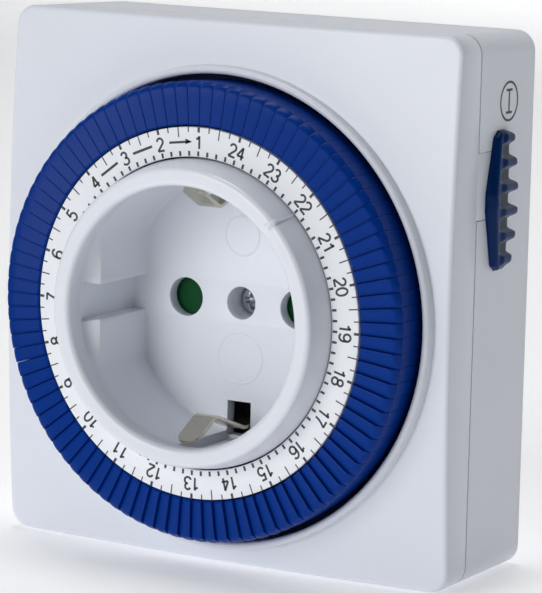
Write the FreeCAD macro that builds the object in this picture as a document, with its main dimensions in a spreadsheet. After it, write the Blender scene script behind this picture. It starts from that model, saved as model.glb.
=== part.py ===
import FreeCAD, Part
import Sketcher
import math
import os

from FreeCAD import Placement, Rotation, Vector

# Plug-in mechanical timer switch with a 24 hour dial round its socket outlet.
# Part frame: X to the right as seen from the room, Y into the wall, Z up.
# The origin is the centre of the plug's engagement face, where the pins come out.
# Every piece is drawn in the housing's own frame, whose Y is the depth behind the
# front cover's edge plane, and its Placement moves it back by edge_shift.

# Driving dimensions in millimetres and degrees
DIMENSIONS = {
    # housing
    "body_width": 75.0,
    "body_height": 79.0,
    "box_rise": 2.1,
    "body_depth": 24.4,
    "side_draft": 0.67,
    "corner_radius": 3.0,
    "edge_round": 0.6,
    "rear_round": 1.5,
    "dome_radius": 430.0,
    "wall": 2.0,
    "parting_depth": 5.7,
    "parting_gap": 0.05,
    "opening_radius": 34.0,
    "lip_width": 1.1,
    "lip_reach": 3.65,
    # socket insert
    "collar_radius": 22.35,
    "rim_radius": 21.3,
    "rim_reach": 13.15,
    "rim_round": 0.5,
    "recess_radius": 19.1,
    "floor_depth": 4.0,
    "floor_thickness": 2.0,
    "key_height": 2.45,
    "key_gap": 5.2,
    "key_start": 8.0,
    "key_lead": 1.4,
    "pin_spacing": 19.0,
    "pin_hole": 5.7,
    "screw_hole": 4.8,
    "tube_radius": 3.9,
    "tube_end": 10.2,
    "tube_seat": 8.6,
    "channel_width": 4.6,
    "channel_radius": 20.4,
    "slot_inner": 14.6,
    "flange_radius": 24.4,
    "flange_front": 6.5,
    "spigot_radius": 21.7,
    # dial
    "dial_clearance": 0.08,
    "scale_front": 8.6,
    "scale_thickness": 0.8,
    "scale_inner": 22.6,
    "scale_outer": 26.9,
    "deck_front": 0.6,
    "deck_thickness": 1.2,
    "deck_radius": 34.6,
    "dial_back": 6.4,
    "gear_front": 4.6,
    "hub_radius": 25.5,
    "tappets_per_hour": 4,
    "tappet_inner": 27.1,
    "tappet_outer": 33.35,
    "tappet_front": 8.84,
    "tappet_thickness": 6.7,
    "tappet_gap": 0.12,
    "tappet_slope": 0.4,
    "tappet_bulge": 0.3,
    "tappet_chamfer": 0.8,
    "stem_inner": 31.0,
    "stem_outer": 32.9,
    "stem_width": 1.2,
    "stem_end": 1.5,
    # gear train
    "gear_module": 0.5,
    "dial_teeth": 120,
    "pinion_teeth": 12,
    "wheel_teeth": 36,
    "gear_backlash": 0.12,
    "train_angle_two": 225.0,
    "train_angle_one": 94.6,
    "train_angle_motor": 85.2,
    "arbor_radius": 0.6,
    "arbor_clearance": 0.05,
    "wheel_two_front": 9.0,
    "wheel_one_front": 11.0,
    "wheel_thickness": 1.4,
    "motor_front": 13.2,
    "motor_radius": 12.0,
    "motor_offset_x": -22.3,
    "motor_offset_z": 10.6,
    # chassis plate
    "chassis_front": 7.2,
    "chassis_thickness": 1.2,
    "shell_clearance": 0.2,
    # case screws
    "screw_x": 32.0,
    "screw_inset_z": 5.5,
    "boss_radius": 2.6,
    "screw_radius": 1.1,
    "screw_head": 1.9,
    "thread_clearance": 0.05,
    # plug
    "boss_depth": 17.0,
    "plug_radius": 18.6,
    "plug_flat": 16.3,
    "plug_rib": 4.4,
    "groove_width": 6.4,
    "groove_floor": 16.6,
    "pin_radius": 2.4,
    "pin_root": 2.0,
    "pin_length": 19.0,
    "pocket_radius": 4.4,
    "pocket_floor": 30.0,
    "fit": 0.05,
    # contacts
    "strip": 0.6,
    "fork_gap": 5.2,
    "fork_width": 4.5,
    "fork_front": 9.4,
    "fork_web_front": 15.0,
    "clip_width": 3.6,
    "leg_height": 18.3,
    # side switch
    "slider_length": 20.0,
    "slider_centre": 17.6,
    "slider_front": 8.0,
    "slider_front_end": 10.2,
    "slider_back": 15.5,
    "slider_height": 1.3,
    "rib_pitch": 3.5,
    "slot_front": 10.2,
    "slot_back": 12.8,
    "slot_low": 13.7,
    "slot_high": 21.8,
    "tab_low": 15.2,
    "tab_high": 24.9,
    "lever_pivot_z": -6.0,
    "lever_pivot_depth": 13.3,
}

# Places worked out from the driving dimensions
PLACES = {
    "edge_shift": "=-(Dim.boss_depth + Dim.body_depth)",
    "box_top": "=Dim.body_height / 2 + Dim.box_rise",
    "box_bottom": "=Dim.box_rise - Dim.body_height / 2",
    "half_width": "=Dim.body_width / 2",
    "rear_inside": "=Dim.body_depth - Dim.wall",
    "plug_face": "=Dim.body_depth + Dim.boss_depth",
    "pin_x": "=Dim.pin_spacing / 2",
    "strip_front": "=Dim.body_depth - Dim.wall - Dim.strip",
    "chassis_back": "=Dim.chassis_front + Dim.chassis_thickness",
    "screw_top": "=Dim.body_height / 2 + Dim.box_rise - Dim.screw_inset_z",
    "screw_bottom": "=Dim.box_rise - Dim.body_height / 2 + Dim.screw_inset_z",
    "key_flat": "=Dim.recess_radius - Dim.key_height",
    "dial_centres": "=Dim.gear_module * (Dim.dial_teeth + Dim.pinion_teeth) / 2",
    "wheel_centres": "=Dim.gear_module * (Dim.wheel_teeth + Dim.pinion_teeth) / 2",
    "slider_low": "=Dim.slider_centre - Dim.slider_length / 2",
    "slider_high": "=Dim.slider_centre + Dim.slider_length / 2",
}

doc = FreeCAD.newDocument("timer_switch")
sheet = doc.addObject("Spreadsheet::Sheet", "Dim")
for row, (alias, amount) in enumerate(DIMENSIONS.items(), start=1):
    sheet.set(f"A{row}", alias)
    sheet.set(f"B{row}", str(amount))
    sheet.setAlias(f"B{row}", alias)
places = doc.addObject("Spreadsheet::Sheet", "Place")
for row, (alias, formula) in enumerate(PLACES.items(), start=1):
    places.set(f"A{row}", alias)
    places.set(f"B{row}", formula)
    places.setAlias(f"B{row}", alias)
doc.recompute()

NODES = []


def size(formula):
    """The present value of a formula in the sheet's dimensions."""
    return float(sheet.evalExpression(str(formula)))


def bind(thing, **formulas):
    """Tie properties to formulas; two underscores stand for a dot."""
    for name, formula in formulas.items():
        thing.setExpression(name.replace("__", "."), str(formula))


def place(thing, x="0", y="0", z="0"):
    """Carry a piece from the housing's frame into the part frame."""
    bind(thing, Placement__Base__x=x, Placement__Base__z=z)
    bind(thing, Placement__Base__y=f"Place.edge_shift + {y}")


def node(thing, label):
    """Name a finished piece and list it for export."""
    thing.Label = label
    NODES.append(thing)
    return thing


# Sketches

def new_body(name, x="0", z="0"):
    body = doc.addObject("PartDesign::Body", name)
    place(body, x=x, z=z)
    return body


def sketch_on(body, role, offset):
    plane = next(item for item in body.Origin.OriginFeatures if item.Role == role)
    sketch = body.newObject("Sketcher::SketchObject", "sketch")
    sketch.AttachmentSupport = [(plane, "")]
    sketch.MapMode = "FlatFace"
    bind(sketch, AttachmentOffset__Base__z=offset)
    return sketch


def facing(body, depth):
    """A sketch seen from the room, X right and Z up, at one depth."""
    return sketch_on(body, "XZ_Plane", f"-({depth})")


def from_above(body, height="0"):
    """A sketch in X and depth, at one height."""
    return sketch_on(body, "XY_Plane", height)


def from_side(body, x="0"):
    """A sketch in depth and Z, at one X."""
    return sketch_on(body, "YZ_Plane", x)


def hold(sketch, kind, where, formula):
    index = sketch.addConstraint(Sketcher.Constraint(kind, *where, size(formula)))
    sketch.setExpression(f"Constraints[{index}]", str(formula))


def outline(sketch, corners):
    """A closed polygon whose corners are pairs of formulas."""
    points = [Vector(size(x), size(y), 0) for x, y in corners]
    first = sketch.GeometryCount
    ends = points[1:] + points[:1]
    sketch.addGeometry([Part.LineSegment(a, b) for a, b in zip(points, ends)], False)
    count = len(points)
    for i in range(count):
        after = first + (i + 1) % count
        sketch.addConstraint(Sketcher.Constraint("Coincident", first + i, 2, after, 1))
    for i, (x, y) in enumerate(corners):
        hold(sketch, "DistanceX", (-1, 1, first + i, 1), x)
        hold(sketch, "DistanceY", (-1, 1, first + i, 1), y)
    return sketch


def rectangle(sketch, x0, x1, y0, y1):
    return outline(sketch, [(x0, y0), (x1, y0), (x1, y1), (x0, y1)])


def disc(sketch, radius, x="0", y="0"):
    """A circle with its radius and centre tied to formulas."""
    index = sketch.GeometryCount
    centre = Vector(size(x), size(y), 0)
    sketch.addGeometry(Part.Circle(centre, Vector(0, 0, 1), size(radius)), False)
    hold(sketch, "Radius", (index,), radius)
    hold(sketch, "DistanceX", (-1, 1, index, 3), x)
    hold(sketch, "DistanceY", (-1, 1, index, 3), y)
    return sketch


def rounded_box(sketch, x0, x1, y0, y1, radius):
    """A rectangle with four equal round corners."""
    left, right, low, high = size(x0), size(x1), size(y0), size(y1)
    r = size(radius)
    up = Vector(0, 0, 1)
    centres = [(right - r, low + r), (right - r, high - r), (left + r, high - r), (left + r, low + r)]
    first = sketch.GeometryCount
    lines = [
        ((left + r, low), (right - r, low)),
        ((right, low + r), (right, high - r)),
        ((right - r, high), (left + r, high)),
        ((left, high - r), (left, low + r)),
    ]
    for quarter, ((ax, ay), (bx, by)) in enumerate(lines):
        sketch.addGeometry(Part.LineSegment(Vector(ax, ay, 0), Vector(bx, by, 0)), False)
        cx, cy = centres[quarter]
        start = (quarter - 1) * math.pi / 2
        round_corner = Part.ArcOfCircle(Part.Circle(Vector(cx, cy, 0), up, r), start, start + math.pi / 2)
        sketch.addGeometry(round_corner, False)
    for quarter in range(4):
        line = first + 2 * quarter
        arc = line + 1
        after = first + (2 * quarter + 2) % 8
        sketch.addConstraint(Sketcher.Constraint("Tangent", line, 2, arc, 1))
        sketch.addConstraint(Sketcher.Constraint("Tangent", arc, 2, after, 1))
        sketch.addConstraint(Sketcher.Constraint("Horizontal" if quarter % 2 == 0 else "Vertical", line))
        if quarter:
            sketch.addConstraint(Sketcher.Constraint("Equal", first + 1, arc))
    hold(sketch, "Radius", (first + 1,), radius)
    hold(sketch, "DistanceY", (-1, 1, first, 1), y0)
    hold(sketch, "DistanceX", (-1, 1, first + 2, 1), x1)
    hold(sketch, "DistanceY", (-1, 1, first + 4, 1), y1)
    hold(sketch, "DistanceX", (-1, 1, first + 6, 1), x0)
    return sketch


# Features

def pad(body, sketch, length, back=True):
    """Material from the sketch's plane, backwards unless told otherwise."""
    feature = body.newObject("PartDesign::Pad", "pad")
    feature.Profile = sketch
    feature.Reversed = back
    bind(feature, Length=length)
    return feature


def pad_across(body, sketch, length):
    """Material to both sides of the sketch's plane."""
    feature = pad(body, sketch, length, back=False)
    feature.Midplane = True
    return feature


def pocket(body, sketch, length, both=False):
    """A cut backwards from a facing sketch, or to both sides of any sketch."""
    feature = body.newObject("PartDesign::Pocket", "pocket")
    feature.Profile = sketch
    feature.Midplane = both
    bind(feature, Length=length)
    return feature


def turned(body, sketch, kind="PartDesign::Revolution"):
    """A full turn round the depth axis of a from_above sketch."""
    feature = body.newObject(kind, "turned")
    feature.Profile = sketch
    feature.ReferenceAxis = (sketch, ["V_Axis"])
    feature.Angle = 360
    return feature


def polar(body, originals, count, angle=None):
    """Repeat features round the depth axis."""
    feature = body.newObject("PartDesign::PolarPattern", "pattern")
    feature.Originals = originals
    axis = next(item for item in body.Origin.OriginFeatures if item.Role == "Y_Axis")
    feature.Axis = (axis, [""])
    bind(feature, Occurrences=count)
    feature.Angle = 360
    if angle:
        bind(feature, Angle=angle)
    body.Tip = feature
    return feature


def round_edges(body, radius, wanted):
    """Fillet the edges of the body's last feature that a test picks."""
    doc.recompute()
    base = body.Tip
    names = [f"Edge{i + 1}" for i, edge in enumerate(base.Shape.Edges) if wanted(edge)]
    feature = body.newObject("PartDesign::Fillet", "round")
    feature.Base = (base, names)
    bind(feature, Radius=radius)
    doc.recompute()
    return feature


def cylinder(name, radius, front, back, x="0", z="0"):
    """A round bar along the depth axis."""
    bar = doc.addObject("Part::Cylinder", name)
    bind(bar, Radius=radius, Height=f"({back}) - ({front})")
    bar.Placement = Placement(Vector(), Rotation(Vector(1, 0, 0), -90))
    place(bar, x=x, y=f"({front})", z=z)
    return bar


def joined(name, pieces):
    fused = doc.addObject("Part::MultiFuse", name)
    fused.Shapes = pieces
    return fused


def less(name, base, tool):
    cut = doc.addObject("Part::Cut", name)
    cut.Base = base
    cut.Tool = tool
    return cut


def grouped(name, pieces):
    """Separate solids that share one node."""
    group = doc.addObject("Part::Compound", name)
    group.Links = pieces
    return group


# Housing

def shell_section(body, depth, inset="0"):
    """The housing's outline at one depth; sides and top lean in, the base stays level."""
    lean = f"Dim.side_draft * ({depth}) / Dim.body_depth + {inset}"
    sketch = facing(body, depth)
    return rounded_box(
        sketch,
        f"-(Place.half_width - ({lean}))",
        f"Place.half_width - ({lean})",
        f"Place.box_bottom + {inset}",
        f"Place.box_top - ({lean})",
        f"Dim.corner_radius - 0.8 * ({inset})",
    )


def shell_block(body, front, back, inset="0", back_inset=None):
    loft = body.newObject("PartDesign::AdditiveLoft", "block")
    loft.Profile = shell_section(body, front, inset)
    loft.Sections = [shell_section(body, back, back_inset or inset)]
    loft.Ruled = True
    return loft


def domed(name, block):
    """What of a block lies behind the domed face."""
    crown = "(Place.half_width ^ 2 + (Dim.body_height / 2) ^ 2) / (2 * Dim.dome_radius)"
    ball = doc.addObject("Part::Sphere", f"{name}_ball")
    bind(ball, Radius="Dim.dome_radius")
    ball.Placement = Placement(Vector(), Rotation(Vector(0, 0, 1), 90))
    place(ball, y=f"(Dim.dome_radius - {crown})", z="Dim.box_rise")
    kept = doc.addObject("Part::Common", name)
    kept.Base = block
    kept.Tool = ball
    return kept


def screw_places():
    return [(x, z) for z in ("Place.screw_top", "Place.screw_bottom") for x in ("-Dim.screw_x", "Dim.screw_x")]


def front_cover():
    """Domed cover with a raised lip round the dial and a tab that closes the switch slot."""
    block = new_body("cover_block")
    shell_block(block, "-5", "Dim.parting_depth - Dim.parting_gap")
    outer = softened(domed("cover_outer", block))
    core = new_body("cover_core")
    shell_block(core, "Dim.wall", "Dim.parting_depth + 1", "Dim.wall")
    bosses = []
    for x, z in screw_places():
        post = cylinder("cover_post", "Dim.boss_radius", "0", "Dim.chassis_front", x, z)
        bore = cylinder("cover_bore", "Dim.screw_radius + Dim.thread_clearance", "1", "Dim.chassis_front + 1", x, z)
        bosses.append(less("cover_boss", post, bore))
    lip = new_body("cover_lip")
    ring = from_above(lip)
    half = "Dim.lip_width / 2"
    outline(ring, [
        ("Dim.opening_radius", "0"),
        ("Dim.opening_radius", f"-(Dim.lip_reach - {half})"),
        (f"Dim.opening_radius + 0.3 * {half}", f"-(Dim.lip_reach - 0.3 * {half})"),
        (f"Dim.opening_radius + {half}", "-Dim.lip_reach"),
        (f"Dim.opening_radius + 1.7 * {half}", f"-(Dim.lip_reach - 0.3 * {half})"),
        ("Dim.opening_radius + Dim.lip_width", f"-(Dim.lip_reach - {half})"),
        ("Dim.opening_radius + Dim.lip_width", "0"),
    ])
    turned(lip, ring)
    tab = new_body("cover_tab")
    lean = "Dim.side_draft * Dim.slot_front / Dim.body_depth"
    reach = facing(tab, "Dim.parting_depth - 2")
    rectangle(reach, "Place.half_width - Dim.wall", f"Place.half_width - {lean}",
              "Dim.tab_low + Dim.parting_gap", "Dim.tab_high - Dim.parting_gap")
    pad(tab, reach, "Dim.slot_front - Dim.parting_depth + 2 - Dim.parting_gap")
    hole = cylinder("cover_opening", "Dim.opening_radius", "-20", "Dim.parting_depth + 2")
    relief = cylinder("cover_relief", "Dim.deck_radius + 0.4", "Dim.deck_front - 0.4", "Dim.parting_depth + 2")
    shell = less("cover_shell", less("cover_hollowed", outer, core), relief)
    opened = less("cover_open", shell, hole)
    node(joined("cover", [opened, lip, tab] + bosses), "front_cover")


def softened(cover):
    """Break the edges of the domed face."""
    doc.recompute()
    limit = size("Place.edge_shift") + 0.3
    bevel = 0.7 * size("Dim.edge_round")
    soft = doc.addObject("Part::Chamfer", "cover_soft")
    soft.Base = cover
    edges = enumerate(cover.Shape.Edges, start=1)
    soft.Edges = [(number, bevel, bevel) for number, edge in edges if edge.BoundBox.YMax < limit]
    return soft


def rear_housing():
    """Box open to the front, with the plug behind and the posts and pockets inside."""
    outer = new_body("rear_outer")
    bevel = "Dim.body_depth - Dim.rear_round"
    shell_block(outer, "Dim.parting_depth", bevel)
    shell_block(outer, bevel, "Dim.body_depth", "0", "0.6 * Dim.rear_round")
    hollow = new_body("rear_hollow")
    shell_block(hollow, "Dim.parting_depth - 1", "Place.rear_inside", "Dim.wall")
    shell = less("rear_shell", outer, hollow)

    plug = new_body("rear_plug")
    disc(facing(plug, "Dim.body_depth - 0.5"), "Dim.plug_radius")
    pad(plug, plug.Group[-1], "Dim.boss_depth + 0.5")
    face_y = -0.01
    round_edges(plug, "1.0", lambda edge: edge.BoundBox.YMin > face_y)
    for side in ("-", ""):
        for edge in ("-", ""):
            cut = facing(plug, "Dim.body_depth")
            rectangle(cut, f"{side}Dim.plug_flat", f"{side}(Dim.plug_radius + 1)",
                      f"{edge}Dim.plug_rib / 2", f"{edge}Dim.plug_radius")
            pocket(plug, cut, "Dim.boss_depth + 1")
        groove = facing(plug, "Dim.body_depth")
        rectangle(groove, "-Dim.groove_width / 2", "Dim.groove_width / 2",
                  f"{side}Dim.groove_floor", f"{side}(Dim.plug_radius + 1)")
        pocket(plug, groove, "Dim.boss_depth + 1")

    posts = [shell, plug]
    cuts = []
    for x, z in screw_places():
        posts.append(cylinder("rear_post", "Dim.boss_radius", "Place.chassis_back", "Place.rear_inside + 0.5", x, z))
        cuts.append(cylinder("rear_bore", "Dim.screw_radius + Dim.fit", "5", "Dim.body_depth + 1", x, z))
        cuts.append(cylinder("rear_sink", "Dim.screw_head + Dim.fit", "Dim.body_depth - 1.6", "Dim.body_depth + 1", x, z))
    posts.append(cylinder("centre_post", "3.4", "Dim.tube_end", "Place.rear_inside + 0.5"))
    cuts.append(cylinder("centre_bore", "1.3 + Dim.fit", "Dim.tube_end - 1", "19"))
    for side in ("-", ""):
        x = f"{side}Place.pin_x"
        cuts.append(cylinder("contact_pocket", "Dim.pocket_radius", "Place.rear_inside - 1", "Dim.pocket_floor", x))
        cuts.append(cylinder("pin_bore", "Dim.pin_root + Dim.fit", "Dim.pocket_floor - 1", "Place.plug_face + 1", x))
        window = new_body("earth_window")
        slot = facing(window, "Place.rear_inside - 1")
        rectangle(slot, "-(Dim.clip_width / 2 + 0.2)", "Dim.clip_width / 2 + 0.2",
                  f"{side}(Dim.groove_floor - 0.1)", f"{side}(Dim.leg_height + 0.7)")
        pad(window, slot, "Dim.wall + 3")
        cuts.append(window)
    notch = new_body("switch_notch")
    rectangle(facing(notch, "Dim.parting_depth - 2"), "Place.half_width - Dim.wall - 2", "Place.half_width + 2",
              "Dim.tab_low", "Dim.tab_high")
    pad(notch, notch.Group[-1], "Dim.slot_front - Dim.parting_depth + 2")
    opening = facing(notch, "Dim.slot_front - 0.5")
    rectangle(opening, "Place.half_width - Dim.wall - 2", "Place.half_width + 2", "Dim.tab_low", "Dim.slot_high")
    pad(notch, opening, "Dim.slot_back - Dim.slot_front + 0.5")
    low = facing(notch, "Dim.slot_front")
    rectangle(low, "Place.half_width - Dim.wall - 2", "Place.half_width + 2", "Dim.slot_low", "Dim.slot_high")
    pad(notch, low, "Dim.slot_back - Dim.slot_front")
    cuts.append(notch)
    for name, x, z in arbor_places():
        posts.append(cylinder(f"{name}_post", "1.8", "19", "Place.rear_inside + 0.5", x, z))
        cuts.append(cylinder(f"{name}_bore", "Dim.arbor_radius + Dim.fit", "18", "21.4", x, z))
    for x in ("27", "33.4"):
        lug = new_body("lever_lug")
        rectangle(facing(lug, "Dim.lever_pivot_depth - 1.6"), x, f"{x} + 1.2",
                  "Dim.lever_pivot_z - 1.8", "Dim.lever_pivot_z + 1.8")
        pad(lug, lug.Group[-1], "Place.rear_inside + 0.5 - Dim.lever_pivot_depth + 1.6")
        posts.append(lug)
    cuts.append(bar_across("lug_bore", "0.8 + Dim.fit", "26", "35", "Dim.lever_pivot_depth", "Dim.lever_pivot_z"))
    solid = joined("rear_solid", posts)
    node(less("rear", solid, joined("rear_cuts", cuts)), "rear_housing")


def bar_across(name, radius, x0, x1, depth, z):
    """A round bar along X."""
    bar = doc.addObject("Part::Cylinder", name)
    bind(bar, Radius=radius, Height=f"({x1}) - ({x0})")
    bar.Placement = Placement(Vector(), Rotation(Vector(0, 1, 0), 90))
    place(bar, x=x0, y=f"({depth})", z=z)
    return bar


# Socket insert

def socket_insert():
    """Collar, recess, keys, contact openings and the pointer, moulded in one."""
    body = new_body("insert")
    back = "Dim.floor_depth + Dim.floor_thickness"
    outline(from_above(body), [
        ("Dim.recess_radius + 0.6", "-Dim.rim_reach"),
        ("Dim.rim_radius - Dim.rim_round", "-Dim.rim_reach"),
        ("Dim.rim_radius", "-(Dim.rim_reach - Dim.rim_round)"),
        ("Dim.collar_radius", "-(Dim.scale_front + 0.1)"),
        ("Dim.collar_radius", "Dim.flange_front"),
        ("Dim.flange_radius", "Dim.flange_front"),
        ("Dim.flange_radius", "Dim.chassis_front"),
        ("Dim.spigot_radius", "Dim.chassis_front"),
        ("Dim.spigot_radius", "Place.chassis_back"),
        ("Dim.channel_radius", "Place.chassis_back"),
        ("Dim.channel_radius", back),
        ("Dim.tube_radius", back),
        ("Dim.tube_radius", "Dim.tube_end"),
        ("1.45", "Dim.tube_end"),
        ("1.45", "Dim.tube_seat"),
        ("Dim.screw_hole / 2", "Dim.tube_seat"),
        ("Dim.screw_hole / 2", "Dim.floor_depth"),
        ("Dim.recess_radius", "Dim.floor_depth"),
        ("Dim.recess_radius", "-(Dim.rim_reach - 0.6)"),
    ])
    turned(body, body.Group[-1])
    wall_x = "sqrt(Dim.recess_radius ^ 2 - (Dim.key_gap / 2) ^ 2) + 0.6"
    for side in ("-", ""):
        key = from_above(body)
        outline(key, [
            (f"{side}({wall_x})", "Dim.floor_depth + 0.5"),
            (f"{side}Place.key_flat", "Dim.floor_depth + 0.5"),
            (f"{side}Place.key_flat", "-Dim.key_start"),
            (f"{side}({wall_x})", "-(Dim.key_start + Dim.key_lead)"),
        ])
        pad_across(body, key, "2 * sqrt(Dim.recess_radius ^ 2 - Place.key_flat ^ 2) + 0.4")
        gap = facing(body, "-(Dim.key_start + 3)")
        rectangle(gap, f"{side}(Place.key_flat - 1)", f"{side}Dim.recess_radius",
                  "-Dim.key_gap / 2", "Dim.key_gap / 2")
        pocket(body, gap, "Dim.key_start + 3 + Dim.floor_depth")
    holes = facing(body, "Dim.floor_depth")
    for side in ("-", ""):
        disc(holes, "Dim.pin_hole / 2", f"{side}Place.pin_x")
    pocket(body, holes, "Dim.floor_thickness")
    for side in ("-", ""):
        slot = facing(body, "Dim.floor_depth")
        rectangle(slot, "-(Dim.clip_width / 2 + 0.2)", "Dim.clip_width / 2 + 0.2",
                  f"{side}Dim.slot_inner", f"{side}Dim.channel_radius")
        pocket(body, slot, "Dim.floor_thickness")
        channel = facing(body, "-Dim.key_start")
        rectangle(channel, "-Dim.channel_width / 2", "Dim.channel_width / 2",
                  f"{side}(Dim.recess_radius - 1.5)", f"{side}Dim.channel_radius")
        pocket(body, channel, "Dim.key_start + Dim.floor_depth")
    pointer = new_body("pointer")
    outline(facing(pointer, "-(Dim.rim_reach + 0.35)"), [
        ("-0.9", "Dim.rim_radius - 1.3"),
        ("0.9", "Dim.rim_radius - 1.3"),
        ("0", "Dim.collar_radius - 0.1"),
    ])
    pad(pointer, pointer.Group[-1], "Dim.rim_reach - Dim.scale_front - 0.2")
    pointer.Placement.Rotation = Rotation(Vector(0, 1, 0), 45)
    node(joined("socket", [body, pointer]), "socket_insert")


# Dial

def gear_outline(teeth, phase, depth, thickness):
    """A spur wheel: involute flanks from the pressure angle, with backlash taken off."""
    module = size("Dim.gear_module")
    pitch = module * teeth / 2
    base = pitch * math.cos(math.radians(20))
    tip = pitch + module
    root = pitch - 1.25 * module
    half = math.pi / (2 * teeth) - size("Dim.gear_backlash") / (2 * pitch)

    def spread(radius):
        """How far the flank has leant back at a radius, from the tooth's middle."""
        turn = math.acos(min(1.0, base / radius))
        start = math.acos(base / pitch)
        return half + (math.tan(start) - start) - (math.tan(turn) - turn)

    low = max(root, base)
    points = []
    for index in range(teeth):
        middle = phase + 2 * math.pi * index / teeth
        flank = [(root, spread(low)), (pitch, spread(pitch)), (tip, spread(tip))]
        if root >= base:
            flank = [flank[0], flank[-1]]
        points += [(r, middle - a) for r, a in flank]
        points += [(r, middle + a) for r, a in reversed(flank)]
    corners = [Vector(r * math.cos(a), depth, r * math.sin(a)) for r, a in points]
    face = Part.Face(Part.makePolygon(corners + corners[:1]))
    return face.extrude(Vector(0, thickness, 0))


def dial_phase():
    """The dial has a tooth on the line to the second wheel's arbor."""
    return math.radians(size("Dim.train_angle_two"))


def bore_along(shape, radius, front, back):
    hole = Part.makeCylinder(radius, back - front, Vector(0, front, 0), Vector(0, 1, 0))
    return shape.cut(hole)


def part_feature(name, shape, x=0.0, z=0.0):
    feature = doc.addObject("Part::Feature", name)
    feature.Shape = shape
    feature.Placement = Placement(Vector(x, size("Place.edge_shift"), z), Rotation())
    return feature


def dial_ring():
    """Carrier that turns on the collar: hub, slotted deck for the tappets, gear rim."""
    body = new_body("dial_carrier")
    bore = "Dim.collar_radius + Dim.dial_clearance"
    top = "-(Dim.scale_front - Dim.scale_thickness)"
    outline(from_above(body), [
        (bore, top),
        ("Dim.scale_outer - 0.2", top),
        ("Dim.scale_outer - 0.2", "Dim.deck_front"),
        ("Dim.deck_radius", "Dim.deck_front"),
        ("Dim.deck_radius", "Dim.deck_front + Dim.deck_thickness"),
        ("Dim.hub_radius", "Dim.deck_front + Dim.deck_thickness"),
        ("Dim.hub_radius", "Dim.gear_front"),
        ("Dim.hub_radius + 1", "Dim.gear_front"),
        ("Dim.hub_radius + 1", "Dim.dial_back"),
        (bore, "Dim.dial_back"),
    ])
    turned(body, body.Group[-1])
    doc.recompute()
    slot = facing(body, "Dim.deck_front")
    rectangle(slot, "-(Dim.stem_width / 2 + Dim.dial_clearance)", "Dim.stem_width / 2 + Dim.dial_clearance",
              "Dim.stem_inner - Dim.dial_clearance", "Dim.stem_outer + Dim.dial_clearance")
    first = pocket(body, slot, "Dim.deck_thickness")
    polar(body, [first], "24 * Dim.tappets_per_hour")
    body.Placement.Rotation = Rotation(Vector(0, 1, 0), 7.5 / size("Dim.tappets_per_hour"))
    thickness = size("Dim.dial_back - Dim.gear_front")
    wheel = gear_outline(int(size("Dim.dial_teeth")), dial_phase(), size("Dim.gear_front"), thickness)
    wheel = bore_along(wheel, size("Dim.hub_radius"), size("Dim.gear_front") - 1, size("Dim.dial_back") + 1)
    node(joined("dial", [body, part_feature("dial_gear_rim", wheel)]), "dial_ring")


def hour_scale():
    """Flat printed annulus lying on the carrier."""
    body = new_body("scale")
    ring = facing(body, "-Dim.scale_front")
    disc(ring, "Dim.scale_outer - 0.1")
    disc(ring, "Dim.scale_inner")
    pad(body, ring, "Dim.scale_thickness")
    node(body, "hour_scale")


def tappet_group(hour):
    """The four quarter-hour tappets of one hour."""
    body = new_body(f"tappets_{hour:02d}")
    body.AllowCompound = True
    pitch_angle = "360 / (24 * Dim.tappets_per_hour)"
    slim = "Dim.tappet_gap / 2"
    inner = f"Dim.tappet_inner * tan({pitch_angle} / 2) - {slim}"
    outer = f"Dim.tappet_outer * sin({pitch_angle} / 2) - {slim}"
    shoulder = "Dim.tappet_outer - Dim.tappet_bulge"
    front = "-Dim.tappet_front"
    outline(facing(body, front), [
        (f"-({inner})", "Dim.tappet_inner"),
        (f"-({outer})", shoulder),
        (f"-0.5 * ({outer})", "Dim.tappet_outer - 0.25 * Dim.tappet_bulge"),
        (f"0.5 * ({outer})", "Dim.tappet_outer - 0.25 * Dim.tappet_bulge"),
        (f"{outer}", shoulder),
        (f"{inner}", "Dim.tappet_inner"),
    ])
    block = pad(body, body.Group[-1], "Dim.tappet_thickness")
    slope = from_above(body, "(Dim.tappet_inner + Dim.tappet_outer) / 2")
    outline(slope, [
        (f"-({outer}) + 0.35", front),
        (f"{outer} + 0.1", f"{front} - 0.2"),
        (f"{outer} + 0.1", f"{front} + Dim.tappet_slope"),
    ])
    saw = pocket(body, slope, "2 * (Dim.tappet_outer - Dim.tappet_inner)", both=True)
    end = from_side(body)
    outline(end, [
        (f"{front} - 0.1", "Dim.tappet_outer - Dim.tappet_chamfer - 0.1"),
        (f"{front} - 0.1", "Dim.tappet_outer + 0.1"),
        (f"{front} + Dim.tappet_chamfer", "Dim.tappet_outer + 0.1"),
    ])
    bevel = pocket(body, end, "4", both=True)
    stem = facing(body, f"{front} + Dim.tappet_thickness")
    rectangle(stem, "-Dim.stem_width / 2", "Dim.stem_width / 2", "Dim.stem_inner", "Dim.stem_outer")
    foot = pad(body, stem, "Dim.stem_end + Dim.tappet_front - Dim.tappet_thickness")
    polar(body, [block, saw, bevel, foot], "Dim.tappets_per_hour", f"({pitch_angle}) * (Dim.tappets_per_hour - 1)")
    body.Placement.Rotation = Rotation(Vector(0, 1, 0), hour_angle(hour))
    node(body, f"tappets_hour_{hour:02d}")


def hour_angle(hour):
    """Hours count anticlockwise from 1 at the top; the group starts half a pitch on."""
    pitch = 15.0 / size("Dim.tappets_per_hour")
    return -(15.0 * (hour - 1)) - pitch / 2 - pitch * (size("Dim.tappets_per_hour") - 1)


# Gear train

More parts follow.
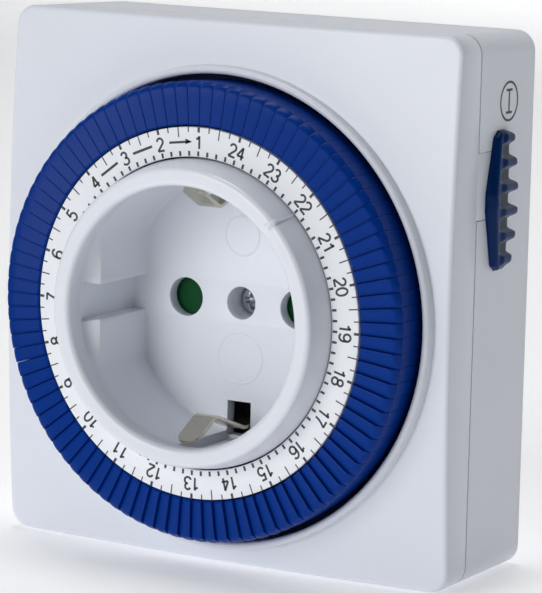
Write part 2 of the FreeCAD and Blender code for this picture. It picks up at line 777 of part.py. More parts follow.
def arbor_places():
    """Name, X and Z formulas of the two wheel arbors."""
    two_x = "Place.dial_centres * cos(Dim.train_angle_two)"
    two_z = "Place.dial_centres * sin(Dim.train_angle_two)"
    one_x = f"({two_x} + Place.wheel_centres * cos(Dim.train_angle_one))"
    one_z = f"({two_z} + Place.wheel_centres * sin(Dim.train_angle_one))"
    return [("arbor_two", two_x, two_z), ("arbor_one", one_x, one_z)]


def motor_shaft_place():
    _, one_x, one_z = arbor_places()[1]
    x = f"({one_x} + Place.wheel_centres * cos(Dim.train_angle_motor))"
    z = f"({one_z} + Place.wheel_centres * sin(Dim.train_angle_motor))"
    return x, z


def meshed_phase(driver_teeth, driver_phase, bearing, teeth):
    """Phase that puts a gap of the next wheel where the driver's tooth points."""
    offset = ((bearing - driver_phase) * driver_teeth / (2 * math.pi)) % 1.0
    return bearing + math.pi - 2 * math.pi / teeth * (0.5 - offset)


def gear_train():
    """Two compound wheels and the motor's pinion, each set to mesh with the one before."""
    pinion = int(size("Dim.pinion_teeth"))
    wheel = int(size("Dim.wheel_teeth"))
    bore = size("Dim.arbor_radius + Dim.arbor_clearance")
    bearing_two = math.radians(size("Dim.train_angle_two"))
    bearing_one = math.radians(size("Dim.train_angle_one"))
    bearing_motor = math.radians(size("Dim.train_angle_motor"))
    phase_two = meshed_phase(int(size("Dim.dial_teeth")), dial_phase(), bearing_two, pinion)
    phase_one = meshed_phase(wheel, phase_two, bearing_one, pinion)
    phase_motor = meshed_phase(wheel, phase_one, bearing_motor, pinion)
    thickness = size("Dim.wheel_thickness")
    hub = size("Dim.gear_module * Dim.pinion_teeth / 2 - 1.3 * Dim.gear_module")
    stages = [
        ("gear_two", phase_two, size("Dim.gear_front") - 0.1, size("Dim.dial_back") + 0.1,
         size("Dim.wheel_two_front"), arbor_places()[0]),
        ("gear_one", phase_one, size("Dim.wheel_two_front") - 0.1, size("Dim.wheel_two_front") + thickness + 0.1,
         size("Dim.wheel_one_front"), arbor_places()[1]),
    ]
    for name, phase, front, back, wheel_front, (_, x, z) in stages:
        small = gear_outline(pinion, phase, front, back - front)
        large = gear_outline(wheel, phase, wheel_front, thickness)
        neck = Part.makeCylinder(hub, wheel_front + thickness - front, Vector(0, front, 0), Vector(0, 1, 0))
        solid = bore_along(small.fuse(neck).fuse(large), bore, front - 1, wheel_front + thickness + 1)
        node(part_feature(name, solid, size(x), size(z)), name)
    x, z = motor_shaft_place()
    front = size("Dim.wheel_one_front") - 0.2
    small = gear_outline(pinion, phase_motor, front, thickness + 0.4)
    node(part_feature("motor_pinion", bore_along(small, bore, front - 1, front + 9), size(x), size(z)), "motor_pinion")


def gear_arbors():
    arbors = []
    for name, x, z in arbor_places():
        front = "Dim.gear_front - 0.3" if name == "arbor_two" else "Place.chassis_back + 0.1"
        arbors.append(cylinder(name, "Dim.arbor_radius", front, "21.2", x, z))
    node(grouped("arbors", arbors), "gear_arbors")


def motor():
    """Flat synchronous motor: a can with a stepped front flange and its eccentric shaft."""
    x, z = "Dim.motor_offset_x", "Dim.motor_offset_z"
    can = cylinder("can", "Dim.motor_radius", "Dim.motor_front", "Place.rear_inside - 0.2", x, z)
    seam = cylinder("can_seam", "Dim.motor_radius - 1.2", "Dim.motor_front - 0.6", "Dim.motor_front + 1", x, z)
    shaft_x, shaft_z = motor_shaft_place()
    shaft = cylinder("motor_shaft", "Dim.arbor_radius", "Dim.wheel_one_front - 0.4", "Dim.motor_front + 1", shaft_x, shaft_z)
    boss = cylinder("motor_boss", "1.6", "Dim.motor_front - 0.4", "Dim.motor_front + 1", shaft_x, shaft_z)
    node(joined("motor", [can, seam, boss, shaft]), "timer_motor")


def chassis_plate():
    """Plate between the dial and the works, held between the screw posts."""
    body = new_body("chassis")
    inset = "Dim.wall + Dim.shell_clearance"
    pad(body, shell_section(body, "Dim.chassis_front", inset), "Dim.chassis_thickness")
    holes = facing(body, "Dim.chassis_front")
    disc(holes, "Dim.spigot_radius + Dim.fit")
    for x, z in screw_places():
        disc(holes, "Dim.screw_radius + 0.2", x, z)
    _, two_x, two_z = arbor_places()[0]
    disc(holes, "Dim.gear_module * Dim.pinion_teeth / 2 + 0.9", two_x, two_z)
    rectangle(holes, "28.2", "33.6", "4", "24")
    pocket(body, holes, "Dim.chassis_thickness")
    switch_side = facing(body, "Dim.chassis_front")
    rectangle(switch_side, "Place.half_width - Dim.wall - 0.6", "Place.half_width",
              "Dim.tab_low - 0.5", "Dim.tab_high + 0.5")
    pocket(body, switch_side, "Dim.chassis_thickness")
    node(body, "chassis_plate")


# Screws

def pan_screw(name, x, z, tip, seat, shank, head, head_height):
    """A screw driven from behind, with a cross recess in its head."""
    bar = cylinder(f"{name}_shank", shank, tip, f"({seat}) + 0.1", x, z)
    cap = cylinder(f"{name}_head", head, seat, f"({seat}) + {head_height}", x, z)
    return joined(name, [bar, cap])


def case_screws():
    screws = []
    for index, (x, z) in enumerate(screw_places()):
        screws.append(pan_screw(f"case_screw_{index}", x, z, "2.5", "Dim.body_depth - 1.6",
                                "Dim.screw_radius", "Dim.screw_head", "1.3"))
    node(grouped("case_screw_set", screws), "case_screws")


def centre_screw():
    """Holds the insert to the centre post; its head lies deep in the middle hole."""
    shank = cylinder("centre_shank", "1.3", "Dim.tube_seat - 0.1", "18.5")
    head = cylinder("centre_head", "Dim.screw_hole / 2 - 0.2", "Dim.tube_seat - 1.6", "Dim.tube_seat")
    cross = new_body("cross")
    for wide, tall in (("0.35", "1.3"), ("1.3", "0.35")):
        rectangle(facing(cross, "Dim.tube_seat - 2"), f"-{wide}", wide, f"-{tall}", tall)
        pad(cross, cross.Group[-1], "1.4")
    node(less("centre", joined("centre_blank", [shank, head]), cross), "centre_screw")


# Electrical parts

def plug_pins():
    """Round pins with a head inside the plug, a thinner root in its wall and a rounded tip."""
    for side, name in (("-", "plug_pin_neutral"), ("", "plug_pin_live")):
        body = new_body(name, x=f"{side}Place.pin_x")
        end = "Place.plug_face + Dim.pin_length"
        outline(from_above(body), [
            ("0", "Dim.pocket_floor - 1"),
            ("3.4", "Dim.pocket_floor - 1"),
            ("3.4", "Dim.pocket_floor"),
            ("Dim.pin_root", "Dim.pocket_floor"),
            ("Dim.pin_root", "Place.plug_face"),
            ("Dim.pin_radius", "Place.plug_face"),
            ("Dim.pin_radius", f"{end} - 0.8 * Dim.pin_radius"),
            ("0.9 * Dim.pin_radius", f"{end} - 0.4 * Dim.pin_radius"),
            ("0.65 * Dim.pin_radius", f"{end} - 0.12 * Dim.pin_radius"),
            ("0.3 * Dim.pin_radius", end),
            ("0", end),
        ])
        turned(body, body.Group[-1])
        node(body, name)


def fork_channel(body, web_side):
    """Two leaves above and below the pin, joined by a web on one side."""
    inner = "Dim.fork_gap / 2"
    outer = "Dim.fork_gap / 2 + Dim.strip"
    far = f"{web_side}(Dim.fork_width / 2 + 1.1)"
    near = f"{web_side}(Dim.fork_width / 2 + 0.5)"
    open_side = f"-({web_side}Dim.fork_width / 2)"
    channel = facing(body, "Dim.fork_front")
    outline(channel, [
        (open_side, f"-({outer})"), (far, f"-({outer})"), (far, outer), (open_side, outer),
        (open_side, inner), (near, inner), (near, f"-({inner})"), (open_side, f"-({inner})"),
    ])
    pad(body, channel, "Place.strip_front - Dim.fork_front")
    relief = facing(body, "Dim.fork_front")
    rectangle(relief, near, f"{web_side}(Dim.fork_width / 2 + 2)", f"-({outer} + 1)", f"{outer} + 1")
    pocket(body, relief, "Dim.fork_web_front - Dim.fork_front")


def contact_forks():
    neutral = new_body("neutral_contact", x="-Place.pin_x")
    fork_channel(neutral, "")
    tail = facing(neutral, "Place.strip_front - 1")
    rectangle(tail, "Dim.fork_width / 2 + 0.5", "Dim.fork_width / 2 + 1.1", "-1.8", "1.8")
    pad(neutral, tail, "Dim.pocket_floor - 1 - Place.strip_front + 1")
    foot = facing(neutral, "Dim.pocket_floor - 1 - Dim.strip")
    rectangle(foot, "-2.2", "Dim.fork_width / 2 + 1.1", "-1.8", "1.8")
    pad(neutral, foot, "Dim.strip")
    node(neutral, "neutral_contact")

    live = new_body("live_contact", x="Place.pin_x")
    fork_channel(live, "-")
    low = "-(Dim.fork_gap / 2 + Dim.strip)"
    drop = facing(live, "Place.strip_front - Dim.strip")
    outline(drop, [
        ("-1.8", f"{low} + 0.3"), ("-1.8", "-12"), ("12.2", "-24.6"), ("17.2", "-24.6"),
        ("17.2", "-21"), ("1.8", "-9"), ("1.8", f"{low} + 0.3"),
    ])
    pad(live, drop, "Dim.strip")
    riser = from_side(live, "14.7")
    outline(riser, [
        ("15.9", "-24.6"), ("Place.strip_front", "-24.6"), ("Place.strip_front", "-24"),
        ("16.5", "-24"), ("16.5", "-19"), ("15.9", "-19"),
    ])
    pad_across(live, riser, "5")
    node(live, "live_contact")


def moving_contact():
    """Spring blade with its rivet; it hinges at the live contact's bracket."""
    body = new_body("blade", x="Place.pin_x + 14.7")
    rectangle(facing(body, "15.5"), "-2.4", "2.4", "-24.4", "16.5")
    pad(body, body.Group[-1], "0.35")
    tip = facing(body, "15.2")
    disc(tip, "1.5", "0", "14")
    pad(body, tip, "1.7")
    node(body, "moving_contact")


def fixed_contact():
    """Bracket with the second rivet, fed from the live pin."""
    body = new_body("fixed", x="Place.pin_x + 14.7")
    bracket = from_side(body)
    outline(bracket, [
        ("17.8", "11.5"), ("18.4", "11.5"), ("18.4", "17.4"), ("Place.rear_inside", "17.4"),
        ("Place.rear_inside", "18"), ("17.8", "18"),
    ])
    pad_across(body, bracket, "4.6")
    rivet = facing(body, "16.95")
    disc(rivet, "1.5", "0", "14")
    pad(body, rivet, "1.3")
    node(body, "fixed_contact")


def live_supply_bar():
    """From the live pin's shoulder out of its pocket and up to the fixed contact."""
    body = new_body("supply", x="Place.pin_x")
    foot = facing(body, "Dim.pocket_floor - 1 - Dim.strip")
    rectangle(foot, "-2.2", "3.9", "-1.5", "1.5")
    pad(body, foot, "Dim.strip")
    riser = facing(body, "Place.strip_front")
    rectangle(riser, "3.3", "3.9", "-1.5", "1.5")
    pad(body, riser, "Dim.pocket_floor - 1 - Place.strip_front")
    run = facing(body, "Place.strip_front")
    outline(run, [
        ("3.3", "-1.5"), ("7", "-1.5"), ("17", "12"), ("17", "17.1"), ("12.4", "17.1"),
        ("12.4", "13.5"), ("3.3", "1.5"),
    ])
    pad(body, run, "Dim.strip")
    node(body, "live_supply_bar")


def earth_contacts():
    """One bent strip at the top and one below: recess clip, leg and plug contact."""
    t = "Dim.strip"
    leg = "Dim.leg_height"
    out = "Dim.groove_floor + 0.3"
    for side, label in (("", "earth_contact_upper"), ("-", "earth_contact_lower")):
        body = new_body(label)
        path = from_side(body)
        outline(path, [
            ("-10.6", f"{side}18.2"), ("-5", f"{side}15.2"), ("3", f"{side}({leg} - 0.3)"),
            ("20.6", f"{side}{leg}"), ("24", f"{side}({out})"), ("38.6", f"{side}({out})"),
            ("40.8", f"{side}({out} - 0.2)"), ("40.8", f"{side}({out} + 0.4)"),
            ("38.4", f"{side}({out} + {t})"), ("24.2", f"{side}({out} + {t})"),
            ("20.8", f"{side}({leg} + {t})"), ("2.8", f"{side}({leg} - 0.3 + {t})"),
            ("-5", f"{side}(15.2 + 1.05 * {t})"), ("-10.3", f"{side}18.75"),
        ])
        pad_across(body, path, "Dim.clip_width")
        node(body, label)
    strap = new_body("strap")
    band = facing(strap, "Place.strip_front")
    disc(band, "5.6")
    disc(band, "3.4 + 0.1")
    pad(strap, band, t)
    for side in ("-", ""):
        arm = facing(strap, "Place.strip_front")
        rectangle(arm, "-2.2", "2.2", f"{side}4.4", f"{side}17.1")
        pad(strap, arm, t)
    node(strap, "earth_strap")


# Shutter

def safety_shutter():
    """Two-lobed shutter behind the pin holes; it turns on the centre tube."""
    body = new_body("shutter")
    front = "Dim.floor_depth + Dim.floor_thickness + 0.25"
    blade = facing(body, front)
    rounded_box(blade, "-(Place.pin_x + 3.8)", "Place.pin_x + 3.8", "-3.6", "3.6", "2.4")
    pad(body, blade, "1.5")
    hub = facing(body, front)
    disc(hub, "Dim.tube_radius + 1.6")
    pad(body, hub, "2.6")
    bore = facing(body, front)
    disc(bore, "Dim.tube_radius + Dim.fit")
    pocket(body, bore, "3")
    node(body, "safety_shutter")


# Side switch

def slider_plan(body, x_height):
    """Boat-shaped plan on the side of the housing, in depth and Z."""
    middle = "Dim.slider_centre"
    low = "Place.slider_low"
    high = "Place.slider_high"
    front = "Dim.slider_front"
    end = "Dim.slider_front_end"
    back = "Dim.slider_back"
    sketch = from_side(body, x_height)
    return outline(sketch, [
        (f"{end} + 0.8", low), (f"{back} - 1.5", low), (f"{back} - 0.4", f"{low} + 1.4"),
        (back, middle), (f"{back} - 0.4", f"{high} - 1.4"), (f"{back} - 1.5", high),
        (f"{end} + 0.8", high), (end, f"{high} - 0.8"), (front, f"{middle} + 1.5"),
        (front, f"{middle} - 1.5"), (end, f"{low} + 0.8"),
    ])


def override_slider():
    """Ribbed thumb slider with its neck through the slot and its foot and peg inside."""
    base = "Place.half_width + 0.1"
    body = new_body("slider")
    plan = slider_plan(body, base)
    pad(body, plan, "Dim.slider_height", back=False)
    neck = from_side(body, "Place.half_width - Dim.wall - 0.7")
    rectangle(neck, "Dim.slot_front + 0.2", "Dim.slot_back - 0.2", "Dim.slot_high - 3.2", "Dim.slot_high - 0.2")
    pad(body, neck, "Dim.wall + 0.9", back=False)
    foot = from_side(body, "Place.half_width - Dim.wall - 2.5")
    rectangle(foot, "8.65", "14.4", "Dim.slot_high - 5.6", "Dim.slot_high + 2")
    pad(body, foot, "1.8", back=False)
    ribs = [body]
    for index in range(6):
        z = f"Dim.slider_centre + {index - 2.5} * Dim.rib_pitch * 0.98"
        inset = 0.35 + 0.5 * abs(index - 2.5)
        rib = doc.addObject("Part::Cylinder", "rib")
        bind(rib, Radius="0.75", Height=f"Dim.slider_back - Dim.slider_front - {2 * inset}")
        rib.Placement = Placement(Vector(), Rotation(Vector(1, 0, 0), -90))
        rise = f"{base} + Dim.slider_height - 0.15 * {abs(index - 2.5)}"
        place(rib, x=rise, y=f"Dim.slider_front + {inset + 0.2 * abs(index - 2.5)}", z=z)
        ribs.append(rib)
    ribs.append(bar_across("slider_peg", "0.8", "28.9", "Place.half_width - Dim.wall - 2", "9.3", "Dim.slot_high - 1.8"))
    node(joined("thumb_slider", ribs), "override_slider")


def switch_lever():
    """Rocker between slider, pressed tappets and spring blade."""
    pivot_z = "Dim.lever_pivot_z"
    pivot_y = "Dim.lever_pivot_depth"
    body = new_body("lever")
    arm = from_side(body, "31.65")
    outline(arm, [
        ("12.6", f"{pivot_z} - 0.4"), ("12.6", "6.5"), ("4.4", "6.9"), ("4.4", "9.3"), ("12.6", "9.7"),
        ("12.6", "14.6"), ("10.45", "20"), ("9.9", "21.2"), ("14.2", "21.2"), ("14.2", f"{pivot_z} - 0.4"),
    ])
    pad_across(body, arm, "2.3")
    eye = from_side(body, "30.75")
    disc(eye, "1.7", pivot_y, pivot_z)
    pad_across(body, eye, "4.7")
    foot = from_side(body, "27.2")
    rectangle(foot, "13", "15.25", "4.3", "6.3")
    pad_across(body, foot, "8.4")
    bore = from_side(body, "30.75")
    disc(bore, "0.8 + Dim.fit", pivot_y, pivot_z)
    pocket(body, bore, "8", both=True)
    node(body, "switch_lever")
    node(bar_across("pivot_pin", "0.8", "27.2", "34.4", pivot_y, pivot_z), "lever_pivot_pin")


front_cover()
rear_housing()
socket_insert()
dial_ring()
hour_scale()
for hour_number in range(1, 25):
    tappet_group(hour_number)
gear_train()
gear_arbors()
motor()
chassis_plate()
case_screws()
centre_screw()
plug_pins()
contact_forks()
moving_contact()
fixed_contact()
live_supply_bar()
earth_contacts()
safety_shutter()
override_slider()
switch_lever()
doc.recompute()

for thing in doc.Objects:
    if "Invalid" in thing.State or "Error" in thing.State:
        raise RuntimeError(f"{thing.Name} ({thing.Label}) did not build: {thing.State}")
for piece in NODES:
    if piece.Shape.isNull() or not piece.Shape.isValid() or not piece.Shape.Solids:
        raise RuntimeError(f"{piece.Label} has no sound shape")

os.makedirs("parts", exist_ok=True)
for piece in NODES:
    piece.Shape.exportStep(os.path.join("parts", f"{piece.Label}.step"))
    print(piece.Label, len(piece.Shape.Solids), round(piece.Shape.Volume, 2))
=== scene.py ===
"""Looks of a plug in timer switch, built round its packed construction model.

Everything is in metres in the part's frame: X right, Y into the wall, Z up. Shapes are worked out in
millimetres, with their depth measured from the front cover's edge plane, and placed by `placed`.
"""
import math

import bmesh
import bpy
import numpy as np
from mathutils import Matrix, Vector


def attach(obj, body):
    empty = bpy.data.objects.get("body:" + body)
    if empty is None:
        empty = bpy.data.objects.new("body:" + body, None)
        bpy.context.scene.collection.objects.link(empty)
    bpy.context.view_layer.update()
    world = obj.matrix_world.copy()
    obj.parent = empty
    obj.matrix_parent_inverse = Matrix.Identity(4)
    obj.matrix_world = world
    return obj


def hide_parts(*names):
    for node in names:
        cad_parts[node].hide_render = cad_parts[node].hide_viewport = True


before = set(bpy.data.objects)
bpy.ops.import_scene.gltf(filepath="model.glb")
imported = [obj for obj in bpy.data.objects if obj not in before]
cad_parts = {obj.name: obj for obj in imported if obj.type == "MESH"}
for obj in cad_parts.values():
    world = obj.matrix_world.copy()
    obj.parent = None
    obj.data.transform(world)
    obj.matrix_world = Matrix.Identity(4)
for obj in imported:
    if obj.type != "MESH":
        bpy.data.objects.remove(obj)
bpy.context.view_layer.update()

# EDGE_DEPTH runs from the cover's edge plane to the plug's engagement face; WELD is in metres.
MM = 0.001
WELD = 1e-7
EDGE_DEPTH = 41.4
HOURS = 24
TAPPETS_PER_HOUR = 4
PITCH = 2 * math.pi / (HOURS * TAPPETS_PER_HOUR)


# Mesh building

def placed(points):
    """Millimetres (x, depth, z) to the part's frame: depth loses the edge plane's distance."""
    return (np.asarray(points, float) - (0.0, EDGE_DEPTH, 0.0)) * MM


def shown(name, mesh, sharp):
    """An object from a mesh: seams and poles welded, faces turned outward, smooth but for sharp edges."""
    shell = bmesh.new()
    shell.from_mesh(mesh)
    bmesh.ops.remove_doubles(shell, verts=shell.verts, dist=WELD)
    bmesh.ops.recalc_face_normals(shell, faces=shell.faces)
    shell.to_mesh(mesh)
    shell.free()
    mesh.polygons.foreach_set("use_smooth", np.ones(len(mesh.polygons), bool))
    mesh.update()
    mesh.set_sharp_from_angle(angle=math.radians(sharp))
    thing = bpy.data.objects.new(name, mesh)
    bpy.context.scene.collection.objects.link(thing)
    return thing


def piece(name, points, faces, sharp=35):
    """A mesh object at the origin, smooth but for edges sharper than `sharp` degrees."""
    mesh = bpy.data.meshes.new(name)
    mesh.from_pydata(placed(points).tolist(), [], [list(map(int, f)) for f in faces])
    return shown(name, mesh, sharp)


def grid_faces(rows, columns, wrap_rows=False, wrap_columns=False, start=0):
    """Quads of a grid of points in row order."""
    i = np.arange(rows if wrap_rows else rows - 1)[:, None]
    j = np.arange(columns if wrap_columns else columns - 1)[None, :]
    down, along = (i + 1) % rows, (j + 1) % columns
    quads = np.stack([i * columns + j, i * columns + along, down * columns + along, down * columns + j], -1)
    return (quads.reshape(-1, 4) + start).tolist()


def grid_piece(name, grid, wrap_rows=False, wrap_columns=False, sharp=35, caps=False):
    """A surface from a grid of points; caps close the first and last row."""
    rows, columns = grid.shape[:2]
    faces = grid_faces(rows, columns, wrap_rows, wrap_columns)
    if caps:
        faces += [list(range(columns)), list(range((rows - 1) * columns, rows * columns))]
    return piece(name, grid.reshape(-1, 3), faces, sharp)


def ring(radius, depth, angle):
    """Points round the Y axis at a radius and depth: x = r sin a, z = r cos a."""
    x, z = radius * np.sin(angle), radius * np.cos(angle)
    return np.stack([x, np.broadcast_to(depth, x.shape), z], -1)


def turned_grid(profile, steps):
    """A profile of (radius, depth) rows carried round the Y axis."""
    angle = np.linspace(0, 2 * math.pi, steps, endpoint=False)
    radius, depth = np.asarray(profile, float).T
    return ring(radius[:, None], depth[:, None], angle)


def turned_piece(name, profile, steps):
    """A solid of revolution from a closed profile of (radius, depth) corners."""
    return grid_piece(name, turned_grid(profile, steps), wrap_rows=True, wrap_columns=True)


def rounded(corners, radii, steps=6):
    """A polyline with circular corners: each corner is left by an arc tangent to both its sides."""
    corners = [np.asarray(c, float) for c in corners]
    path = []
    for k, (here, radius) in enumerate(zip(corners, radii)):
        if radius == 0:
            path.append(here)
            continue
        back = corners[k - 1] - here
        ahead = corners[(k + 1) % len(corners)] - here
        back, ahead = back / np.linalg.norm(back), ahead / np.linalg.norm(ahead)
        half = math.acos(float(np.clip(back @ ahead, -1, 1))) / 2
        reach = radius / math.tan(half)
        middle = here + (back + ahead) / np.linalg.norm(back + ahead) * radius / math.sin(half)
        start, end = here + back * reach - middle, here + ahead * reach - middle
        sweep = math.pi - 2 * half
        for t in np.linspace(0, 1, steps):
            blend = start * math.sin((1 - t) * sweep) + end * math.sin(t * sweep)
            path.append(middle + blend / math.sin(sweep))
    return np.array(path)


def joined_piece(name, parts, sharp=35):
    """One piece from several (points, faces) sets."""
    points, faces, count = [], [], 0
    for part_points, part_faces in parts:
        points.append(np.asarray(part_points, float).reshape(-1, 3))
        faces += [[v + count for v in f] for f in part_faces]
        count += len(points[-1])
    return piece(name, np.concatenate(points), faces, sharp)


def box_part(xs, depths, zs):
    """Points and faces of a plain block."""
    points = [(x, d, z) for x in xs for d in depths for z in zs]
    faces = [[0, 1, 3, 2], [4, 6, 7, 5], [0, 4, 5, 1], [2, 3, 7, 6], [0, 2, 6, 4], [1, 5, 7, 3]]
    return np.array(points), faces


def directions(angle):
    """Unit vectors outwards and clockwise at an angle from the top, as seen from the room."""
    out = np.array([math.sin(angle), 0, math.cos(angle)])
    side = np.array([math.cos(angle), 0, -math.sin(angle)])
    return out, side


def smoothstep(low, high, value):
    """Cubic ease from 0 at low to 1 at high."""
    t = np.clip((value - low) / (high - low), 0, 1)
    return t * t * (3 - 2 * t)


# Materials

def group_sockets(tree, inputs, outputs):
    """The named inputs, with their first values, and the named outputs of a node group."""
    for name, kind, value in inputs:
        socket = tree.interface.new_socket(name, in_out="INPUT", socket_type=kind)
        socket.default_value = value
    for name, kind in outputs:
        tree.interface.new_socket(name, in_out="OUTPUT", socket_type=kind)


def maths(tree, operation, a, b):
    """A Math node on two sockets or numbers."""
    made = tree.nodes.new("ShaderNodeMath")
    made.operation = operation
    for slot, value in zip(made.inputs, (a, b)):
        if isinstance(value, bpy.types.NodeSocket):
            tree.links.new(value, slot)
        else:
            slot.default_value = value
    return made.outputs[0]


def noise(tree, vector, scale, detail=3.0):
    """Noise over a vector; its scale is a number or a socket."""
    made = tree.nodes.new("ShaderNodeTexNoise")
    made.inputs["Detail"].default_value = detail
    made.inputs["Roughness"].default_value = 0.55
    tree.links.new(vector, made.inputs["Vector"])
    if isinstance(scale, bpy.types.NodeSocket):
        tree.links.new(scale, made.inputs["Scale"])
    else:
        made.inputs["Scale"].default_value = scale
    return made.outputs["Fac"]


def surface_group(name, stretched):
    """Colour clouding, uneven gloss and a fine grain. Stretched, the grain runs along Z as brushing."""
    tree = bpy.data.node_groups.new(name, "ShaderNodeTree")
    group_sockets(tree, [
        ("Colour", "NodeSocketColor", (0.8, 0.8, 0.8, 1)), ("Clouding", "NodeSocketFloat", 0.04),
        ("Roughness", "NodeSocketFloat", 0.4), ("Unevenness", "NodeSocketFloat", 0.08),
        ("Grain scale", "NodeSocketFloat", 1800.0), ("Grain height", "NodeSocketFloat", 1.0),
    ], [("Colour", "NodeSocketColor"), ("Roughness", "NodeSocketFloat"), ("Height", "NodeSocketFloat")])
    source = tree.nodes.new("NodeGroupInput")
    target = tree.nodes.new("NodeGroupOutput")
    where = tree.nodes.new("ShaderNodeTexCoord").outputs["Object"]
    mapping = tree.nodes.new("ShaderNodeMapping")
    mapping.inputs["Scale"].default_value = (1, 1, 0.06) if stretched else (1, 1, 1)
    tree.links.new(where, mapping.inputs["Vector"])
    cloud = noise(tree, where, 55.0)
    swing = maths(tree, "MULTIPLY", maths(tree, "SUBTRACT", cloud, 0.5), source.outputs["Clouding"])
    factor = maths(tree, "ADD", 1.0, maths(tree, "MULTIPLY", swing, 2.0))
    tint = tree.nodes.new("ShaderNodeVectorMath")
    tint.operation = "SCALE"
    tree.links.new(source.outputs["Colour"], tint.inputs[0])
    tree.links.new(factor, tint.inputs["Scale"])
    grain = noise(tree, mapping.outputs["Vector"], source.outputs["Grain scale"], detail=2.0)
    patch = noise(tree, where, 160.0)
    wander = maths(tree, "MULTIPLY", maths(tree, "SUBTRACT", patch, 0.5), source.outputs["Unevenness"])
    shine = maths(tree, "ADD", source.outputs["Roughness"], maths(tree, "MULTIPLY", wander, 2.0))
    height = maths(tree, "MULTIPLY", grain, source.outputs["Grain height"])
    tree.links.new(tint.outputs["Vector"], target.inputs["Colour"])
    tree.links.new(shine, target.inputs["Roughness"])
    tree.links.new(height, target.inputs["Height"])
    return tree


MOULDED = surface_group("moulded_surface", False)
BRUSHED = surface_group("drawn_metal", True)


def material(name, group, colour, rough, clouding=0.03, uneven=0.06, scale=1800.0, depth=0.00002,
             metallic=0.0, specular=0.5, subsurface=0.0, glow=0.0):
    """A Principled surface fed by one of the shared groups; depth is the grain's height in metres."""
    made = bpy.data.materials.new(name)
    made.use_nodes = True
    tree = made.node_tree
    shader = tree.nodes["Principled BSDF"]
    shader.inputs["Metallic"].default_value = metallic
    shader.inputs["Specular IOR Level"].default_value = specular
    shader.inputs["Subsurface Weight"].default_value = subsurface
    shader.inputs["Subsurface Scale"].default_value = 0.0008
    shader.inputs["Emission Color"].default_value = (1, 1, 1, 1)
    shader.inputs["Emission Strength"].default_value = glow
    look = tree.nodes.new("ShaderNodeGroup")
    look.node_tree = group
    look.inputs["Colour"].default_value = (*colour, 1)
    look.inputs["Clouding"].default_value = clouding
    look.inputs["Roughness"].default_value = rough
    look.inputs["Unevenness"].default_value = uneven
    look.inputs["Grain scale"].default_value = scale
    bump = tree.nodes.new("ShaderNodeBump")
    bump.inputs["Distance"].default_value = depth
    bump.inputs["Strength"].default_value = 1.0
    tree.links.new(look.outputs["Colour"], shader.inputs["Base Color"])
    tree.links.new(look.outputs["Roughness"], shader.inputs["Roughness"])
    tree.links.new(look.outputs["Height"], bump.inputs["Height"])
    tree.links.new(bump.outputs["Normal"], shader.inputs["Normal"])
    return made


WHITE = material("white_housing_plastic", MOULDED, (0.76, 0.79, 0.86), 0.36, clouding=0.012, depth=0.000006,
                 scale=2600.0)
INSERT_WHITE = material("white_insert_plastic", MOULDED, (0.78, 0.81, 0.87), 0.3, clouding=0.012,
                        depth=0.000004)
SCALE_WHITE = material("printed_scale_white", MOULDED, (0.85, 0.87, 0.91), 0.5, clouding=0.01,
                       depth=0.000003)
BLUE = material("blue_tappet_plastic", MOULDED, (0.0, 0.031, 0.235), 0.36, clouding=0.05, depth=0.00001,
                scale=5200.0, specular=0.09)
# Near-black carrier: the blue dial ring is darkened to paint the shade in the deep gap behind the tappets.
CARRIER_PAINTED_SHADE = material("carrier_plastic_painted_shade", MOULDED, (0.001, 0.008, 0.05), 0.6, clouding=0.05,
                        specular=0.2)
BLUE_SLIDER = material("blue_slider_plastic", MOULDED, (0.0, 0.024, 0.12), 0.3, clouding=0.05,
                       depth=0.000006, specular=0.12)
# Painted shade: a darker blue for the slider's faces deep in the valleys between its ribs, where shade
# falls.
SLIDER_VALLEY_SHADE = material("slider_valley_painted_shade", MOULDED, (0.012, 0.03, 0.055), 0.35, clouding=0.06,
                      specular=0.15)
GREEN = material("green_shutter_plastic", MOULDED, (0.0, 0.065, 0.016), 0.4, clouding=0.05, specular=0.15)
NATURAL = material("natural_works_plastic", MOULDED, (0.72, 0.7, 0.62), 0.42, subsurface=0.05)
NICKEL = material("nickel_plated_strip", BRUSHED, (0.62, 0.57, 0.47), 0.24, clouding=0.12, uneven=0.1,
                  scale=4000.0, depth=0.000006, metallic=1.0)
PIN_METAL = material("nickel_plated_pin", BRUSHED, (0.72, 0.7, 0.66), 0.2, clouding=0.06, uneven=0.08,
                     scale=3000.0, depth=0.000004, metallic=1.0)
BRASS = material("stamped_brass", BRUSHED, (0.72, 0.5, 0.2), 0.3, clouding=0.1, scale=3500.0,
                 metallic=1.0)
STEEL = material("zinc_plated_steel", BRUSHED, (0.55, 0.57, 0.6), 0.3, clouding=0.1, scale=3000.0,
                 depth=0.00001, metallic=1.0)
INK = material("dark_printing_ink", MOULDED, (0.035, 0.038, 0.05), 0.5, clouding=0.2, depth=0.000002)


def finished(thing, look, body, slot, *replaced):
    """Give a piece its look and its body, and hide the nodes it stands for; the slot is not used."""
    thing.data.materials.append(look)
    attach(thing, body)
    if replaced:
        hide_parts(*replaced)
    return thing


# Housing

HALF_WIDTH, BOX_LOW, BOX_HIGH = 37.5, -37.4, 41.6
HALF_HEIGHT, BOX_MIDDLE = (BOX_HIGH - BOX_LOW) / 2, (BOX_HIGH + BOX_LOW) / 2
DOME_RADIUS = 430.0
CROWN = (HALF_WIDTH ** 2 + HALF_HEIGHT ** 2) / (2 * DOME_RADIUS)
CORNER, EDGE_ROLL = 3.0, 0.62
DRAFT, BODY_DEPTH, PARTING = 0.67, 24.4, 5.7
LIP_INNER, LIP_OUTER, LIP_CREST = 34.0, 35.1, -3.65
OPENING_BACK, BACK_RADIUS = 0.4, 35.2
TAB_LOW, TAB_HIGH, TAB_END = 15.25, 24.85, 10.15


